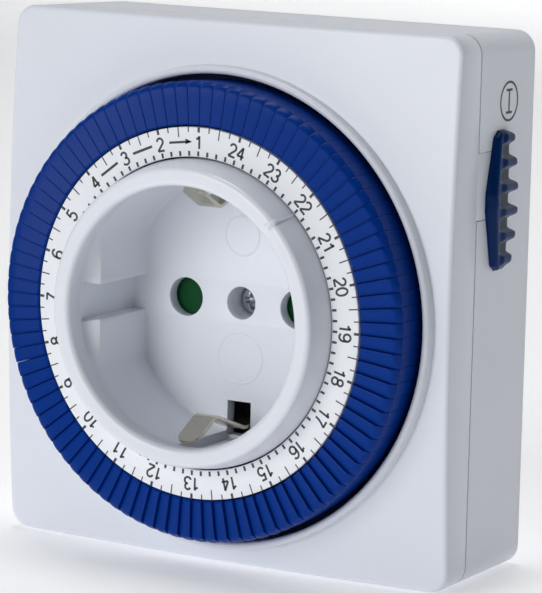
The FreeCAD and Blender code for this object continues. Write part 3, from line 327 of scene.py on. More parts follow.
def dome(x, z):
    """Depth of the cover's face: a sphere that meets the edge plane at the corners."""
    return (x ** 2 + (z - BOX_MIDDLE) ** 2) / (2 * DOME_RADIUS) - CROWN


def box_outline(inset, lean, angle):
    """The housing's outline as seen from its middle, at given directions, with round corners.

    A point of the outline is found on the ray from the centre: the nearer of the side planes, and in a
    corner's reach the corner circle, by the quadratic of a ray and a circle."""
    half_x = HALF_WIDTH - inset - lean
    low, high = BOX_LOW + inset, BOX_HIGH - inset - lean
    middle, half_z = (low + high) / 2, (high - low) / 2
    radius = max(CORNER - inset, 0.3)
    dx, dz = np.sin(angle), np.cos(angle)
    reach = np.minimum(half_x / np.maximum(abs(dx), 1e-9), half_z / np.maximum(abs(dz), 1e-9))
    centre_x, centre_z = half_x - radius, half_z - radius
    ax, az = abs(dx), abs(dz)
    inside = (ax * reach > centre_x) & (az * reach > centre_z)
    along = ax * centre_x + az * centre_z
    root = np.sqrt(np.maximum(along ** 2 - (centre_x ** 2 + centre_z ** 2 - radius ** 2), 0))
    reach = np.where(inside, along + root, reach)
    return dx * reach, dz * reach + middle


def outline_angles():
    """Directions with many steps round each corner and an even spread between."""
    corner = math.atan2(HALF_WIDTH, HALF_HEIGHT)
    turns = [corner, math.pi - corner, math.pi + corner, 2 * math.pi - corner]
    reach = 0.062
    parts = [np.linspace(0, 2 * math.pi, 181)[:-1]]
    parts += [np.linspace(t - reach, t + reach, 19) for t in turns]
    return np.unique(np.round(np.concatenate(parts) % (2 * math.pi), 6))


def front_cover():
    """Side wall, rolled edge, domed face, lip ring and its inner wall as rings from back to middle.

    Face rings run from the outline to the lip's foot by equal shares of the ray; their depth is the dome's.
    The last ring joins the first behind the cover."""
    angle = outline_angles()
    rings = []
    for past, inset in ((0.5, 1.2), (-0.12, 1.2), (-0.12, 0.2), (-0.2, 0.06), (-0.4, 0.0)):
        depth = PARTING + past
        x, z = box_outline(inset, DRAFT * depth / BODY_DEPTH, angle)
        rings.append(np.stack([x, np.full_like(x, depth), z], -1))
    edge = dome(*box_outline(0.0, 0.0, angle))
    for t in np.linspace(0, 1, 7):
        turn = t * math.pi / 2
        x, z = box_outline(EDGE_ROLL * (1 - math.cos(turn)), 0.0, angle)
        depth = dome(x, z) * t + edge * (1 - t) + EDGE_ROLL * (1 - math.sin(turn))
        rings.append(np.stack([x, depth, z], -1))
    start_x, start_z = box_outline(EDGE_ROLL, 0.0, angle)
    end_x, end_z = LIP_OUTER * np.sin(angle), LIP_OUTER * np.cos(angle)
    for t in np.concatenate([[0.03], np.linspace(0.1, 0.94, 16), [0.985]]):
        x, z = start_x + (end_x - start_x) * t, start_z + (end_z - start_z) * t
        rings.append(np.stack([x, dome(x, z), z], -1))
    foot = dome(end_x, end_z)
    for out, rise in ((0.12, 0.0), (0.02, 0.12)):
        rings.append(ring(LIP_OUTER + out, foot - rise, angle))
    half = (LIP_OUTER - LIP_INNER) / 2
    for turn in np.linspace(0, math.pi, 13):
        radius = LIP_INNER + half * (1 + math.cos(turn))
        rings.append(ring(radius, LIP_CREST + half * (1 - math.sin(turn)), angle))
    for radius, depth in ((LIP_INNER, -1.0), (LIP_INNER, OPENING_BACK), (BACK_RADIUS, OPENING_BACK),
                          (BACK_RADIUS, PARTING - 0.2)):
        rings.append(ring(radius, depth, angle))
    shell = (np.stack(rings), grid_faces(len(rings), len(angle), True, True))
    return joined_piece("cover_shell", [shell, tab_plate()], sharp=40)


def tab_plate():
    """The cover's tab that closes the front of the switch slot: a plate whose outer edge is rolled.

    It is open on its inner side, which the housing hides."""
    front = PARTING - 1.2
    face = HALF_WIDTH - DRAFT * 8.0 / BODY_DEPTH
    rows = []
    for inset, sunk in ((0.0, 1.2), (0.0, 0.15), (0.05, 0.05), (0.15, 0.0)):
        near, far = front + inset, TAB_END - inset
        low, high = TAB_LOW + inset, TAB_HIGH - inset
        x = face - sunk
        rows.append([(x, near, low), (x, far, low), (x, far, high), (x, near, high)])
    return np.array(rows), grid_faces(4, 4, False, True) + [[12, 15, 14, 13]]


finished(front_cover(), WHITE, "housing", "white_plastic", "front_cover")


# Socket insert

RECESS, FLOOR = 19.2, 4.0
KEY_FLAT, KEY_HALF_GAP, KEY_START, KEY_LEAD = 16.65, 2.6, -8.0, 1.4
CHANNEL_HALF, CHANNEL_DEEP = 2.0, 20.4
COLLAR_RADIUS, COLLAR_BACK, COLLAR_FOOT = 22.35, 6.0, -8.45
RIM_RADIUS, RIM_FACE, RIM_SOFT = 21.45, -13.16, 0.85
MOUTH, THROAT, THROAT_DEPTH = 18.78, 18.98, -10.2
FLOOR_THICK, FLOOR_ROLL = 2.0, 0.35
PIN_X, PIN_HOLE, SCREW_HOLE, SCREW_SEAT = 9.5, 2.85, 2.4, 8.6
SLOT_HALF, SLOT_LOW, SLOT_HIGH = 1.97, 14.6, 19.7


def key_quarter():
    """A quarter of the recess outline with half a key and half an earth channel, as (x, z) points."""
    side = math.sqrt(RECESS ** 2 - KEY_HALF_GAP ** 2)
    key_top = math.sqrt(RECESS ** 2 - KEY_FLAT ** 2)
    gap_end = math.asin(KEY_HALF_GAP / RECESS)
    arc_low, arc_high = math.atan2(key_top, KEY_FLAT) + 0.01, math.acos(CHANNEL_HALF / RECESS)
    gap = [(RECESS * math.cos(a), RECESS * math.sin(a)) for a in np.linspace(0, gap_end, 4)]
    cheek = [(x, KEY_HALF_GAP) for x in (side - 0.05, KEY_FLAT + 0.3, KEY_FLAT + 0.08)]
    flat = [(KEY_FLAT, z) for z in np.linspace(KEY_HALF_GAP + 0.12, key_top - 0.1, 12)]
    arc = [(RECESS * math.cos(a), RECESS * math.sin(a)) for a in np.linspace(arc_low, arc_high, 32)]
    wall = CHANNEL_HALF - 0.02
    deep = [(wall, math.sqrt(RECESS ** 2 - CHANNEL_HALF ** 2) + 0.05), (wall, CHANNEL_DEEP - 0.05),
            (CHANNEL_HALF - 0.1, CHANNEL_DEEP), (0.0, CHANNEL_DEEP)]
    return np.array(gap + cheek + flat + arc + deep)


def full_outline(quarter):
    """Mirror a quarter outline into all four, dropping the points shared on the axes."""
    left_top = (quarter * (-1, 1))[::-1][1:]
    left_low = (quarter * (-1, -1))[1:]
    right_low = (quarter * (1, -1))[::-1][1:-1]
    return np.concatenate([quarter, left_top, left_low, right_low])


def socket_collar():
    """Outer wall, rounded rim, mouth and recess wall as rings from the scale inwards to the floor.

    Before the keys a ring is a circle; behind their lead-in it is the keyed outline; between, a blend that
    is seven parts straight and three parts eased. The wall draws in a little at the floor."""
    keyed = full_outline(key_quarter())
    angle = np.arctan2(keyed[:, 0], keyed[:, 1])
    profile = rounded([(COLLAR_RADIUS, COLLAR_BACK), (COLLAR_RADIUS, COLLAR_FOOT), (RIM_RADIUS, RIM_FACE),
                       (MOUTH, RIM_FACE), (THROAT, THROAT_DEPTH)], [0, 0.25, RIM_SOFT, RIM_SOFT, 0], 9)
    rings = [ring(radius, depth, angle) for radius, depth in profile]
    round_x, round_z = RECESS * np.sin(angle), RECESS * np.cos(angle)
    start = KEY_START - KEY_LEAD
    lead = [start - 0.3, start, start + 0.12, KEY_START - 0.5, KEY_START - 0.15]
    keys = [KEY_START, KEY_START + 0.3, -4.0, 0.0, FLOOR - FLOOR_ROLL, FLOOR - 0.1, FLOOR, FLOOR + 0.4]
    for depth in lead + keys:
        straight = min(max((depth - start) / KEY_LEAD, 0), 1)
        share = 0.7 * straight + 0.3 * float(smoothstep(start, KEY_START, depth))
        near = max(0.0, 1 - (FLOOR - depth) / FLOOR_ROLL) if depth <= FLOOR else 0.0
        shrink = 1 - 0.3 * near ** 2 / RECESS
        x = (round_x + (keyed[:, 0] - round_x) * share) * shrink
        z = (round_z + (keyed[:, 1] - round_z) * share) * shrink
        rings.append(np.stack([x, np.full_like(x, depth), z], -1))
    return grid_piece("socket_collar", np.stack(rings), wrap_rows=True, wrap_columns=True, sharp=38)


def ring_points(radius, x=0.0, steps=56):
    """A circle as flat (x, z) points, for a filled curve."""
    angle = np.linspace(0, 2 * math.pi, steps, endpoint=False)
    return np.stack([x + radius * np.cos(angle), radius * np.sin(angle)], -1)


def flat_plate(name, outlines, front, back, soft):
    """A flat filled curve with holes and softly rolled edges, made a mesh and stood up to face the room."""
    curve = bpy.data.curves.new(name, "CURVE")
    curve.dimensions = "2D"
    curve.fill_mode = "BOTH"
    curve.extrude = ((back - front) / 2 - soft) * MM
    curve.bevel_depth = soft * MM
    curve.bevel_resolution = 2
    curve.offset = -soft * MM
    for points in outlines:
        spline = curve.splines.new("POLY")
        spline.points.add(len(points) - 1)
        flat = np.concatenate([points * MM, np.zeros((len(points), 1)), np.ones((len(points), 1))], 1)
        spline.points.foreach_set("co", flat.ravel())
        spline.use_cyclic_u = True
    holder = bpy.data.objects.new(name, curve)
    bpy.context.scene.collection.objects.link(holder)
    bpy.context.view_layer.update()
    mesh = bpy.data.meshes.new_from_object(holder)
    bpy.data.objects.remove(holder)
    middle = ((front + back) / 2 - EDGE_DEPTH) * MM
    mesh.transform(Matrix(((1, 0, 0, 0), (0, 0, -1, middle), (0, 1, 0, 0), (0, 0, 0, 1))))
    return shown(name, mesh, 35)


def socket_floor():
    """Recess floor with two pin holes, the screw hole and a slot for each earth clip."""
    outlines = [ring_points(20.2, steps=120), ring_points(SCREW_HOLE, steps=48)]
    outlines += [ring_points(PIN_HOLE, x) for x in (-PIN_X, PIN_X)]
    slot = [(-SLOT_HALF, SLOT_LOW), (SLOT_HALF, SLOT_LOW), (SLOT_HALF, SLOT_HIGH), (-SLOT_HALF, SLOT_HIGH)]
    outlines += [np.array(slot) * (1, side) for side in (-1, 1)]
    return flat_plate("socket_floor", outlines, FLOOR, FLOOR + FLOOR_THICK, 0.12)


def screw_well():
    """Inner wall of the middle hole down to the seat of the screw."""
    outer, bore, front, back = 3.6, 1.4, 5.6, 9.4
    profile = [(outer, back), (bore, back), (bore, SCREW_SEAT), (SCREW_HOLE, SCREW_SEAT),
               (SCREW_HOLE, front), (outer, front)]
    return turned_piece("screw_well", profile, 48)


def floor_rings():
    """Two plain raised rings moulded on the recess floor, 0.09 mm high."""
    section = np.array([(-0.2, 0.05), (-0.1, -0.09), (0.1, -0.09), (0.2, 0.05)])
    angle = np.linspace(0, 2 * math.pi, 64, endpoint=False)
    parts = []
    for radius, z in ((2.86, 9.9), (3.75, -8.14)):
        grid = ring(radius + section[:, :1], FLOOR + section[:, 1:], angle) + (0, 0, z)
        parts.append((grid, grid_faces(4, 64, True, True)))
    return joined_piece("floor_rings", parts, sharp=60)


def pointer():
    """The index: a triangle on the rim at 45 degrees whose ridge runs down the collar's side.

    Each row is a flat-topped section: radius, ridge depth, half width, and how far its foot is sunk in
    depth and drawn inwards."""
    out, side = directions(math.radians(45))
    rows = [(20.15, -13.22, 0.95, 0.5, 0.0), (20.3, -13.42, 0.85, 0.5, 0.0), (21.4, -13.35, 0.42, 0.5, 0.0),
            (22.0, -12.7, 0.3, 0.2, 0.55), (22.55, -8.75, 0.22, 0.2, 0.55)]
    points = []
    for radius, depth, half, sunk, inward in rows:
        foot = out * (radius - inward) + (0, depth + sunk, 0)
        ridge = out * radius + (0, depth, 0)
        points.append([foot + side * half * 1.25, ridge + side * half * 0.35, ridge - side * half * 0.35,
                       foot - side * half * 1.25])
    return grid_piece("index_pointer", np.array(points), wrap_columns=True, caps=True, sharp=50)


finished(socket_collar(), INSERT_WHITE, "housing", "white_plastic", "socket_insert")
finished(socket_floor(), INSERT_WHITE, "housing", "white_plastic", "socket_insert")
for part in (screw_well(), floor_rings(), pointer()):
    finished(part, INSERT_WHITE, "housing", "white_plastic")


# Dial

SCALE_FACE, SCALE_INNER, SCALE_OUTER = -8.6, 22.6, 26.9
INK_FACE, INK_BACK = SCALE_FACE - 0.025, SCALE_FACE + 0.03
INNER_TICK = (22.72, 23.42, 0.17)
RIM_TICKS = ((0.75, 0.19), (0.75, 0.085), (1.45, 0.085), (0.75, 0.085))
BAR_RADIUS = 24.75
NUMBER_HEIGHT, NUMBER_RADIUS, STROKE_HALF, DIGIT_ADVANCE = 1.82, 24.68, 0.155, 1.36
TAPPET_INNER, TAPPET_OUTER, TAPPET_FACE, TAPPET_BACK = 27.05, 33.35, -8.45, -2.14
TAPPET_GAP = 0.035
STEM_INNER, STEM_OUTER, STEM_HALF, STEM_END = 31.0, 32.9, 0.6, 1.5


def hour_angle(hour):
    """An hour's direction, clockwise from the top: 1 is at the top and the count runs anticlockwise."""
    return -(hour - 1) * 2 * math.pi / HOURS


def carried(radius, along, depth, angle):
    """Points given by radius, distance clockwise of it and depth, turned to an angle from the top."""
    x = radius * math.sin(angle) + along * math.cos(angle)
    z = radius * math.cos(angle) - along * math.sin(angle)
    return np.stack([x, np.broadcast_to(depth, x.shape), z], -1)


def tappet_mesh(angle):
    """One tappet: a cross-section loop carried outwards along the radius.

    Across, the face climbs at once to a ridge and falls evenly to the far side; the outer end is a shallow
    arc, and the face drops to it over the last millimetre. The stem is a small bar below, open where it
    starts inside the tappet."""
    across = np.array([-1, -1, -0.96, -0.86, -0.78, -0.1, 0.5, 0.94, 1, 1])
    lift = np.array([0, 0.2, 0.4, 0.42, 0.3, 0.15, 0.03, -0.06, -0.12, 0])
    length = TAPPET_OUTER - TAPPET_INNER
    stations = TAPPET_INNER + np.array([[0, 0.06, 0.3, 2.35, 4.15, 5.3, 5.6, 5.85, 6.1, length]]).T
    drop = np.array([[0.5, 0.14, 0.0, 0.0, 0.0, 0.0, 0.07, 0.24, 0.56, 1.0]]).T
    flatten = np.array([[1, 1, 1, 1, 1, 1, 0.8, 0.4, 0.15, 0.1]]).T
    bow = 0.16 * across ** 2 * smoothstep(30, 33.3, stations)
    depth = TAPPET_FACE + drop - lift * flatten
    depth[:, [0, -1]] = TAPPET_BACK
    grid = carried(stations - bow, across * (stations * math.tan(PITCH / 2) - TAPPET_GAP), depth, angle)
    rows, columns = grid.shape[:2]
    base = rows * columns
    faces = grid_faces(rows, columns, False, True)
    faces += [list(range(columns)), list(range(base - columns, base))]
    stem_radius = np.array([STEM_INNER, STEM_INNER, STEM_OUTER, STEM_OUTER])
    stem_along = np.array([-STEM_HALF, STEM_HALF, STEM_HALF, -STEM_HALF])
    stem = [carried(stem_radius, stem_along, level, angle) for level in (TAPPET_BACK - 0.2, STEM_END)]
    faces += grid_faces(2, 4, False, True, start=base) + [[base + k for k in (7, 6, 5, 4)]]
    return np.concatenate([grid.reshape(-1, 3), *stem]), faces


def tappet_group(hour):
    """The four tappets of an hour as one piece that rides on the hour's own slide."""
    first = hour_angle(hour) - PITCH / 2
    parts = [tappet_mesh(first - k * PITCH) for k in range(TAPPETS_PER_HOUR)]
    name = f"tappets_hour_{hour:02d}"
    finished(joined_piece(f"{name}_keys", parts, sharp=24), BLUE, name, "blue_plastic", name)


for hour in range(1, HOURS + 1):
    tappet_group(hour)


def hour_scale():
    """Flat annulus with rolled front edges under the printing."""
    outer, back = SCALE_OUTER - 0.05, SCALE_FACE + 0.8
    corners = [(SCALE_INNER, back), (outer, back), (outer, SCALE_FACE), (SCALE_INNER, SCALE_FACE)]
    return turned_piece("scale_plate", rounded(corners, [0, 0, 0.12, 0.12], 4), 144)


finished(hour_scale(), SCALE_WHITE, "dial", "scale_white", "hour_scale")


def polar_bar(angle, inner, outer, half):
    """A printed bar along the radius, as a thin slab."""
    out, side = directions(angle)
    near, far, wide = out * inner, out * outer, side * half
    return slab(np.array([near - wide, far - wide, far + wide, near + wide]))


def slab(corners):
    """A thin printed slab from its outline, open behind where it is sunk in the scale."""
    count = len(corners)
    front, back = corners + (0, INK_FACE, 0), corners + (0, INK_BACK, 0)
    return np.concatenate([front, back]), grid_faces(2, count, False, True) + [list(range(count))]


def scale_marks():
    """Ticks at the rim by quarter, half and whole hour, short thick ones inside, and the bars and arrow."""
    parts = []
    outer = SCALE_OUTER - 0.04
    for k in range(HOURS * TAPPETS_PER_HOUR):
        length, half = RIM_TICKS[k % TAPPETS_PER_HOUR]
        parts.append(polar_bar(-k * PITCH, outer - length, outer, half))
        parts.append(polar_bar(-k * PITCH, *INNER_TICK))
    for late, short, half in ((4, 3.4, 0.19), (3, 3.4, 0.19), (2, 3.2, 0.17)):
        start, end = hour_angle(late) + math.radians(3.6), hour_angle(late - 1) - math.radians(short)
        parts.append(chord_bar(start, end, half))
    parts.append(arrow_head(end))
    return joined_piece("scale_marks", parts, sharp=30)


def chord_bar(start, end, half):
    """A straight printed bar between two directions, its ends at the bars' radius."""
    a, b = directions(start)[0] * BAR_RADIUS, directions(end)[0] * BAR_RADIUS
    along = (b - a) / np.linalg.norm(b - a)
    side = np.array([-along[2], 0, along[0]]) * half
    return slab(np.array([a - side, b - side, b + side, a + side]))


def arrow_head(angle):
    """The arrow's barbed head, whose tip is a little past the bar's end."""
    tip = directions(angle + 0.012)[0] * BAR_RADIUS
    out, along = directions(angle)
    barb = tip - along * 1.15
    return slab(np.array([tip, barb + out * 0.42, tip - along, barb - out * 0.42]))


def arc(x, y, wide, tall, start, end, steps=13):
    """Points of an elliptic arc, in degrees from the right, anticlockwise."""
    turn = np.radians(np.linspace(start, end, steps))
    return np.stack([x + wide * np.cos(turn), y + tall * np.sin(turn)], -1)


def digit_strokes():
    """Centre lines of plain upright digits in a box 0.56 wide and 1 high."""
    six = [arc(0.28, 0.3, 0.28, 0.3, 0, 360, 25)[:-1],
           np.concatenate([arc(0.31, 0.62, 0.31, 0.38, 38, 180), [(0.0, 0.3)]])]
    return {
        "0": [arc(0.28, 0.5, 0.28, 0.5, 0, 360, 29)[:-1]],
        "1": [np.array([(0.36, 0.0), (0.36, 1.0)]), np.array([(0.36, 0.98), (0.26, 0.82), (0.08, 0.76)])],
        "2": [np.concatenate([arc(0.28, 0.72, 0.27, 0.28, 170, -38), [(0.02, 0.06), (0.0, 0.0)]]),
              np.array([(0.0, 0.0), (0.57, 0.0)])],
        "3": [arc(0.27, 0.75, 0.24, 0.25, 160, -90), arc(0.27, 0.27, 0.29, 0.27, 90, -165)],
        "4": [np.array([(0.42, 0.0), (0.42, 1.0)]), np.array([(0.42, 1.0), (0.0, 0.28)]),
              np.array([(0.0, 0.28), (0.6, 0.28)])],
        "5": [np.array([(0.5, 1.0), (0.12, 1.0), (0.05, 0.5)]), arc(0.27, 0.32, 0.29, 0.32, 140, -155)],
        "6": six,
        "7": [np.array([(0.0, 1.0), (0.56, 1.0)]),
              np.array([(0.56, 1.0), (0.36, 0.66), (0.24, 0.34), (0.19, 0.0)])],
        "8": [arc(0.28, 0.76, 0.24, 0.24, 0, 360, 21)[:-1], arc(0.28, 0.27, 0.28, 0.27, 0, 360, 25)[:-1]],
        "9": [np.array([(0.56, 1.0)]) - stroke for stroke in six],
    }


def ribbon(line, half, closed):
    """Left and right edges of a stroke, square at its ends, mitred between."""
    ahead = np.roll(line, -1, 0) - line
    behind = line - np.roll(line, 1, 0)
    if not closed:
        ahead[-1], behind[0] = behind[-1], ahead[0]
    ahead /= np.linalg.norm(ahead, axis=1)[:, None]
    behind /= np.linalg.norm(behind, axis=1)[:, None]
    mean = ahead + behind
    mean /= np.linalg.norm(mean, axis=1)[:, None]
    normal = np.stack([-mean[:, 1], mean[:, 0]], -1)
    stretch = 1 / np.clip(np.sum(mean * ahead, 1), 0.5, 1)
    return line + normal * (half * stretch)[:, None], line - normal * (half * stretch)[:, None]


def scale_numbers():
    """Hour numbers with their tops outward: each stroke is a raised ribbon of ink.

    Only the closed strokes have twenty points or more."""
    strokes = digit_strokes()
    parts = []
    for hour in range(1, HOURS + 1):
        out, side = directions(hour_angle(hour))
        word = str(hour)
        for place, digit in enumerate(word):
            shift = (place - (len(word) - 1) / 2) * DIGIT_ADVANCE
            for line in strokes[digit]:
                closed = len(line) >= 20
                flat = (line - (0.28, 0.5)) * NUMBER_HEIGHT + (shift, 0)
                edges = ribbon(flat, STROKE_HALF, closed)
                left, right = [out * (NUMBER_RADIUS + e[:, 1:]) + side * e[:, :1] for e in edges]
                front, back = (0, INK_FACE, 0), (0, INK_BACK, 0)
                grid = np.stack([left + back, left + front, right + front, right + back], 1)
                faces = grid_faces(len(grid), 4, closed, True)
                if not closed:
                    faces += [[0, 1, 2, 3], [4 * len(grid) - 1 - k for k in range(4)]]
                parts.append((grid, faces))
    return joined_piece("scale_numbers", parts, sharp=30)


for part in (scale_marks(), scale_numbers()):
    finished(part, INK, "dial", "scale_white")


# Earth contacts

CLIP_BENDS = ((-10.5, 18.35), (-5.0, 15.25), (2.9, 18.05), (20.6, 18.45), (24.1, 17.2), (38.5, 17.2),
              (40.7, 16.9))
CLIP_RADII = (0, 1.5, 2.2, 1.0, 1.0, 1.0, 0)
CLIP_HALF, CLIP_TIP = 1.8, 1.6


def strip_piece(name, side):
    """A strip of even thickness carried along its bent path of (depth, z); the tip is rounded in plan."""
    path = rounded(CLIP_BENDS, CLIP_RADII, 9)
    shares = (0, 0.02, 0.06, 0.12, 0.2, 0.3, 0.45, 0.7)
    dense = np.array([path[0] + (path[1] - path[0]) * t for t in shares] + list(path[1:]))
    step = np.gradient(dense, axis=0)
    step /= np.linalg.norm(step, axis=1)[:, None]
    normal = np.stack([-step[:, 1], step[:, 0]], -1)
    run = np.concatenate([[0], np.cumsum(np.linalg.norm(np.diff(dense, axis=0), axis=1))])
    near = np.clip(1 - run / CLIP_TIP, 0, 1)
    half = CLIP_HALF * (0.25 + 0.75 * np.sqrt(1 - near ** 2))
    section = np.array([(-1, -0.2), (-0.94, -0.3), (0.94, -0.3), (1, -0.2)])
    section = np.concatenate([section, -section])
    x = half[:, None] * section[:, 0]
    depth = dense[:, :1] + normal[:, :1] * section[:, 1]
    z = side * (dense[:, 1:] + normal[:, 1:] * section[:, 1])
    return grid_piece(name, np.stack([x, depth, z], -1), wrap_columns=True, caps=True, sharp=40)


for side, label in ((1, "upper"), (-1, "lower")):
    clip = strip_piece(f"earth_clip_{label}", side)
    finished(clip, NICKEL, "housing", "nickel_plated", f"earth_contact_{label}")


# Plug pins and screws

PIN_RADIUS, PIN_LENGTH, PIN_TIP = 2.4, 19.0, 2.0
PLUG_FACE = BODY_DEPTH + 17
CASE_SCREW_PLACES = ((-32.0, 36.1), (-32.0, -31.9), (32.0, 36.1), (32.0, -31.9))


def plug_pin(name, x):
    """Round pin with a shoulder inside and an elliptical tip."""
    end = PLUG_FACE + PIN_LENGTH
    turns = np.linspace(0, math.pi / 2 - 0.02, 12)
    tip = [(PIN_RADIUS * math.cos(t), end - PIN_TIP + PIN_TIP * math.sin(t)) for t in turns]
    shoulder = [(0.02, 29.0), (3.3, 29.0), (3.4, 29.1), (3.4, 29.9), (3.3, 30.0)]
    profile = shoulder + [(PIN_RADIUS, 30.0), (PIN_RADIUS, 41.0)] + tip
    return grid_piece(name, turned_grid(profile, 40) + (x, 0, 0), wrap_columns=True, caps=True, sharp=40)


finished(plug_pin("pin_left", -PIN_X), PIN_METAL, "housing", "nickel_plated", "plug_pin_neutral")
finished(plug_pin("pin_right", PIN_X), PIN_METAL, "housing", "nickel_plated", "plug_pin_live")


def screw_head(x, z, radius, seat, height, facing, shank, tip):
    """Pan head whose face is a polar height field: a low dome less a cross-shaped, slope-sided hollow.

    Facing is -1 towards the room and 1 towards the wall. A plain shank runs from the seat to the tip."""
    shares = [0.0, 0.08, 0.16, 0.24, 0.32, 0.4, 0.48, 0.56, 0.64, 0.72, 0.82, 0.92, 0.98, 1.0]
    rings = np.array(shares)[:, None] * radius
    angle = np.linspace(0, 2 * math.pi, 48, endpoint=False)
    px, pz = rings * np.sin(angle), rings * np.cos(angle)
    arm, far = np.minimum(abs(px), abs(pz)), np.maximum(abs(px), abs(pz))
    hollow = 1 - smoothstep(0.1 * radius, 0.2 * radius, arm)
    hollow = hollow * (1 - smoothstep(0.45 * radius, 0.62 * radius, far))
    crown = height * (1 - 0.25 * (rings / radius) ** 2 - 0.35 * smoothstep(0.85, 1.0, rings / radius))
    face = np.stack([px, seat + facing * (crown - hollow * 0.75 * height), pz], -1)
    under = ((radius, seat), (shank, seat), (shank, tip), (0, tip))
    grid = np.concatenate([face, np.stack([ring(r, depth, angle) for r, depth in under])]) + (x, 0, z)
    return grid, grid_faces(len(grid), 48, False, True)


centre = [screw_head(0, 0, radius=2.2, seat=SCREW_SEAT, height=1.5, facing=-1, shank=1.3, tip=18.5)]
finished(joined_piece("centre_screw_head", centre, 30), STEEL, "housing", "steel", "centre_screw")
corners = [screw_head(x, z, radius=1.9, seat=22.8, height=1.3, facing=1, shank=1.1, tip=2.5)
           for x, z in CASE_SCREW_PLACES]
finished(joined_piece("case_screw_heads", corners, 30), STEEL, "housing", "steel", "case_screws")


# Side switch

SLIDER_LOW, SLIDER_HIGH, SLIDER_MIDDLE = 7.6, 27.6, 17.6
RIB_PLACES = np.array([9.2, 12.6, 16.1, 19.6, 23.1, 26.6])
MARK_DEPTH, MARK_Z, MARK_INNER, MARK_OUTER = 14.78, 31.5, 2.56, 2.91


def side_wall(depth):
    """X of the housing's right side at a depth, a hair proud for printing."""
    return HALF_WIDTH - DRAFT * depth / BODY_DEPTH + 0.02


def thumb_slider():
    """Height field over a boat-shaped plan: a solid bow, then six ribs across with valleys between.

    Along Z each rib is a round bump; the back edge steps out at each rib. The height fades to the base at
    every edge by a quarter circle."""
    z = np.linspace(SLIDER_LOW, SLIDER_HIGH, 141)
    bow_steps = [0, 0.004, 0.012, 0.025, 0.045, 0.07, 0.1]
    stern_steps = [0.91, 0.94, 0.965, 0.985, 0.996, 1]
    u = np.concatenate([bow_steps, np.linspace(0.14, 0.88, 26), stern_steps])
    off = abs(z - SLIDER_MIDDLE)
    bow = 8.0 + 2.2 * np.clip((off - 1.2) / 8.8, 0, 1) + 1.0 * smoothstep(9.0, 10.0, off)
    rib = np.max(np.exp(-((z[:, None] - RIB_PLACES) / 0.82) ** 4), axis=1)
    stern = 14.3 - 0.25 * smoothstep(4, 9, off) - 0.9 * smoothstep(9.2, 10.0, off)
    stern = stern + 1.15 * rib * (1 - 0.25 * smoothstep(5, 9, off))
    span = (stern - bow)[:, None]
    depth = bow[:, None] + span * u
    crest = 1.95 - 0.07 * off
    ribbed = 0.75 + (crest - 0.75) * rib
    solid = crest - 0.35
    share = 1 - smoothstep(0.24, 0.44, u)
    height = ribbed[:, None] * (1 - share) + solid[:, None] * share
    edge = np.minimum(u * span, (1 - u) * span / 0.7)
    ends = np.minimum(z - SLIDER_LOW, SLIDER_HIGH - z)[:, None] / 0.7
    reach = np.clip(np.minimum(edge, ends), 0, 1)
    height = height * np.sqrt(1 - (1 - reach) ** 2)
    base = side_wall(depth) + 0.06
    x = base + height
    top = np.stack([x, depth, np.broadcast_to(z[:, None], x.shape)], -1)
    bottom = top.copy()
    bottom[..., 0] = base - 0.04
    rows, columns = top.shape[:2]
    count = rows * columns
    faces = grid_faces(rows, columns) + grid_faces(rows, columns, start=count)
    number = np.arange(count).reshape(rows, columns)
    border = [*number[0], *number[1:, -1], *number[-1, -2::-1], *number[-2:0:-1, 0]]
    faces += [[b, a, a + count, b + count] for a, b in zip(border, border[1:] + border[:1])]
    neck = box_part((34.6, 37.3), (10.45, 12.55), (18.6, 21.6))
    foot = box_part((33.0, 34.8), (8.65, 14.4), (16.2, 23.8))
    peg = box_part((28.9, 33.2), (8.7, 9.9), (19.3, 20.7))
    cap = (np.concatenate([top.reshape(-1, 3), bottom.reshape(-1, 3)]), faces)
    thing = joined_piece("thumb_slider", [cap, neck, foot, peg], 50)
    thing.data.materials.append(BLUE_SLIDER)
    thing.data.materials.append(SLIDER_VALLEY_SHADE)
    # Faces deep in the valleys between the ribs take the second, darker material: painted shade.
    shaded_valley = ((rib < 0.25)[:-1, None] & (u > 0.36)[None, :-1] & (reach[:-1, :-1] > 0.98)).ravel()
    marks = np.zeros(len(thing.data.polygons), np.int32)
    marks[:len(shaded_valley)] = shaded_valley
    thing.data.polygons.foreach_set("material_index", marks)
    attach(thing, "slider")
    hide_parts("override_slider")
    return thing


thumb_slider()


def on_mark():
    """Printed ring with a bar that has serifs, on the right side above the slider."""
    angle = np.linspace(0, 2 * math.pi, 64, endpoint=False)
    rings = []
    for radius, lift in ((MARK_INNER, -0.05), (MARK_INNER, 0.0), (MARK_OUTER, 0.0), (MARK_OUTER, -0.05)):
        depth = MARK_DEPTH + radius * np.sin(angle)
        rings.append(np.stack([side_wall(depth) + lift, depth, MARK_Z + radius * np.cos(angle)], -1))
    parts = [(np.stack(rings), grid_faces(4, 64, True, True))]
    for half, low, high in ((0.2, -1.6, 1.6), (0.95, 1.42, 1.78), (0.95, -1.78, -1.42)):
        points, faces = box_part((-0.05, 0.0), (-half, half), (low, high))
        points += (0, MARK_DEPTH, MARK_Z)
        points[:, 0] += side_wall(points[:, 1])
        parts.append((points, faces))
    return joined_piece("on_mark", parts, 30)


finished(on_mark(), INK, "housing", "white_plastic")


# Carried-over nodes

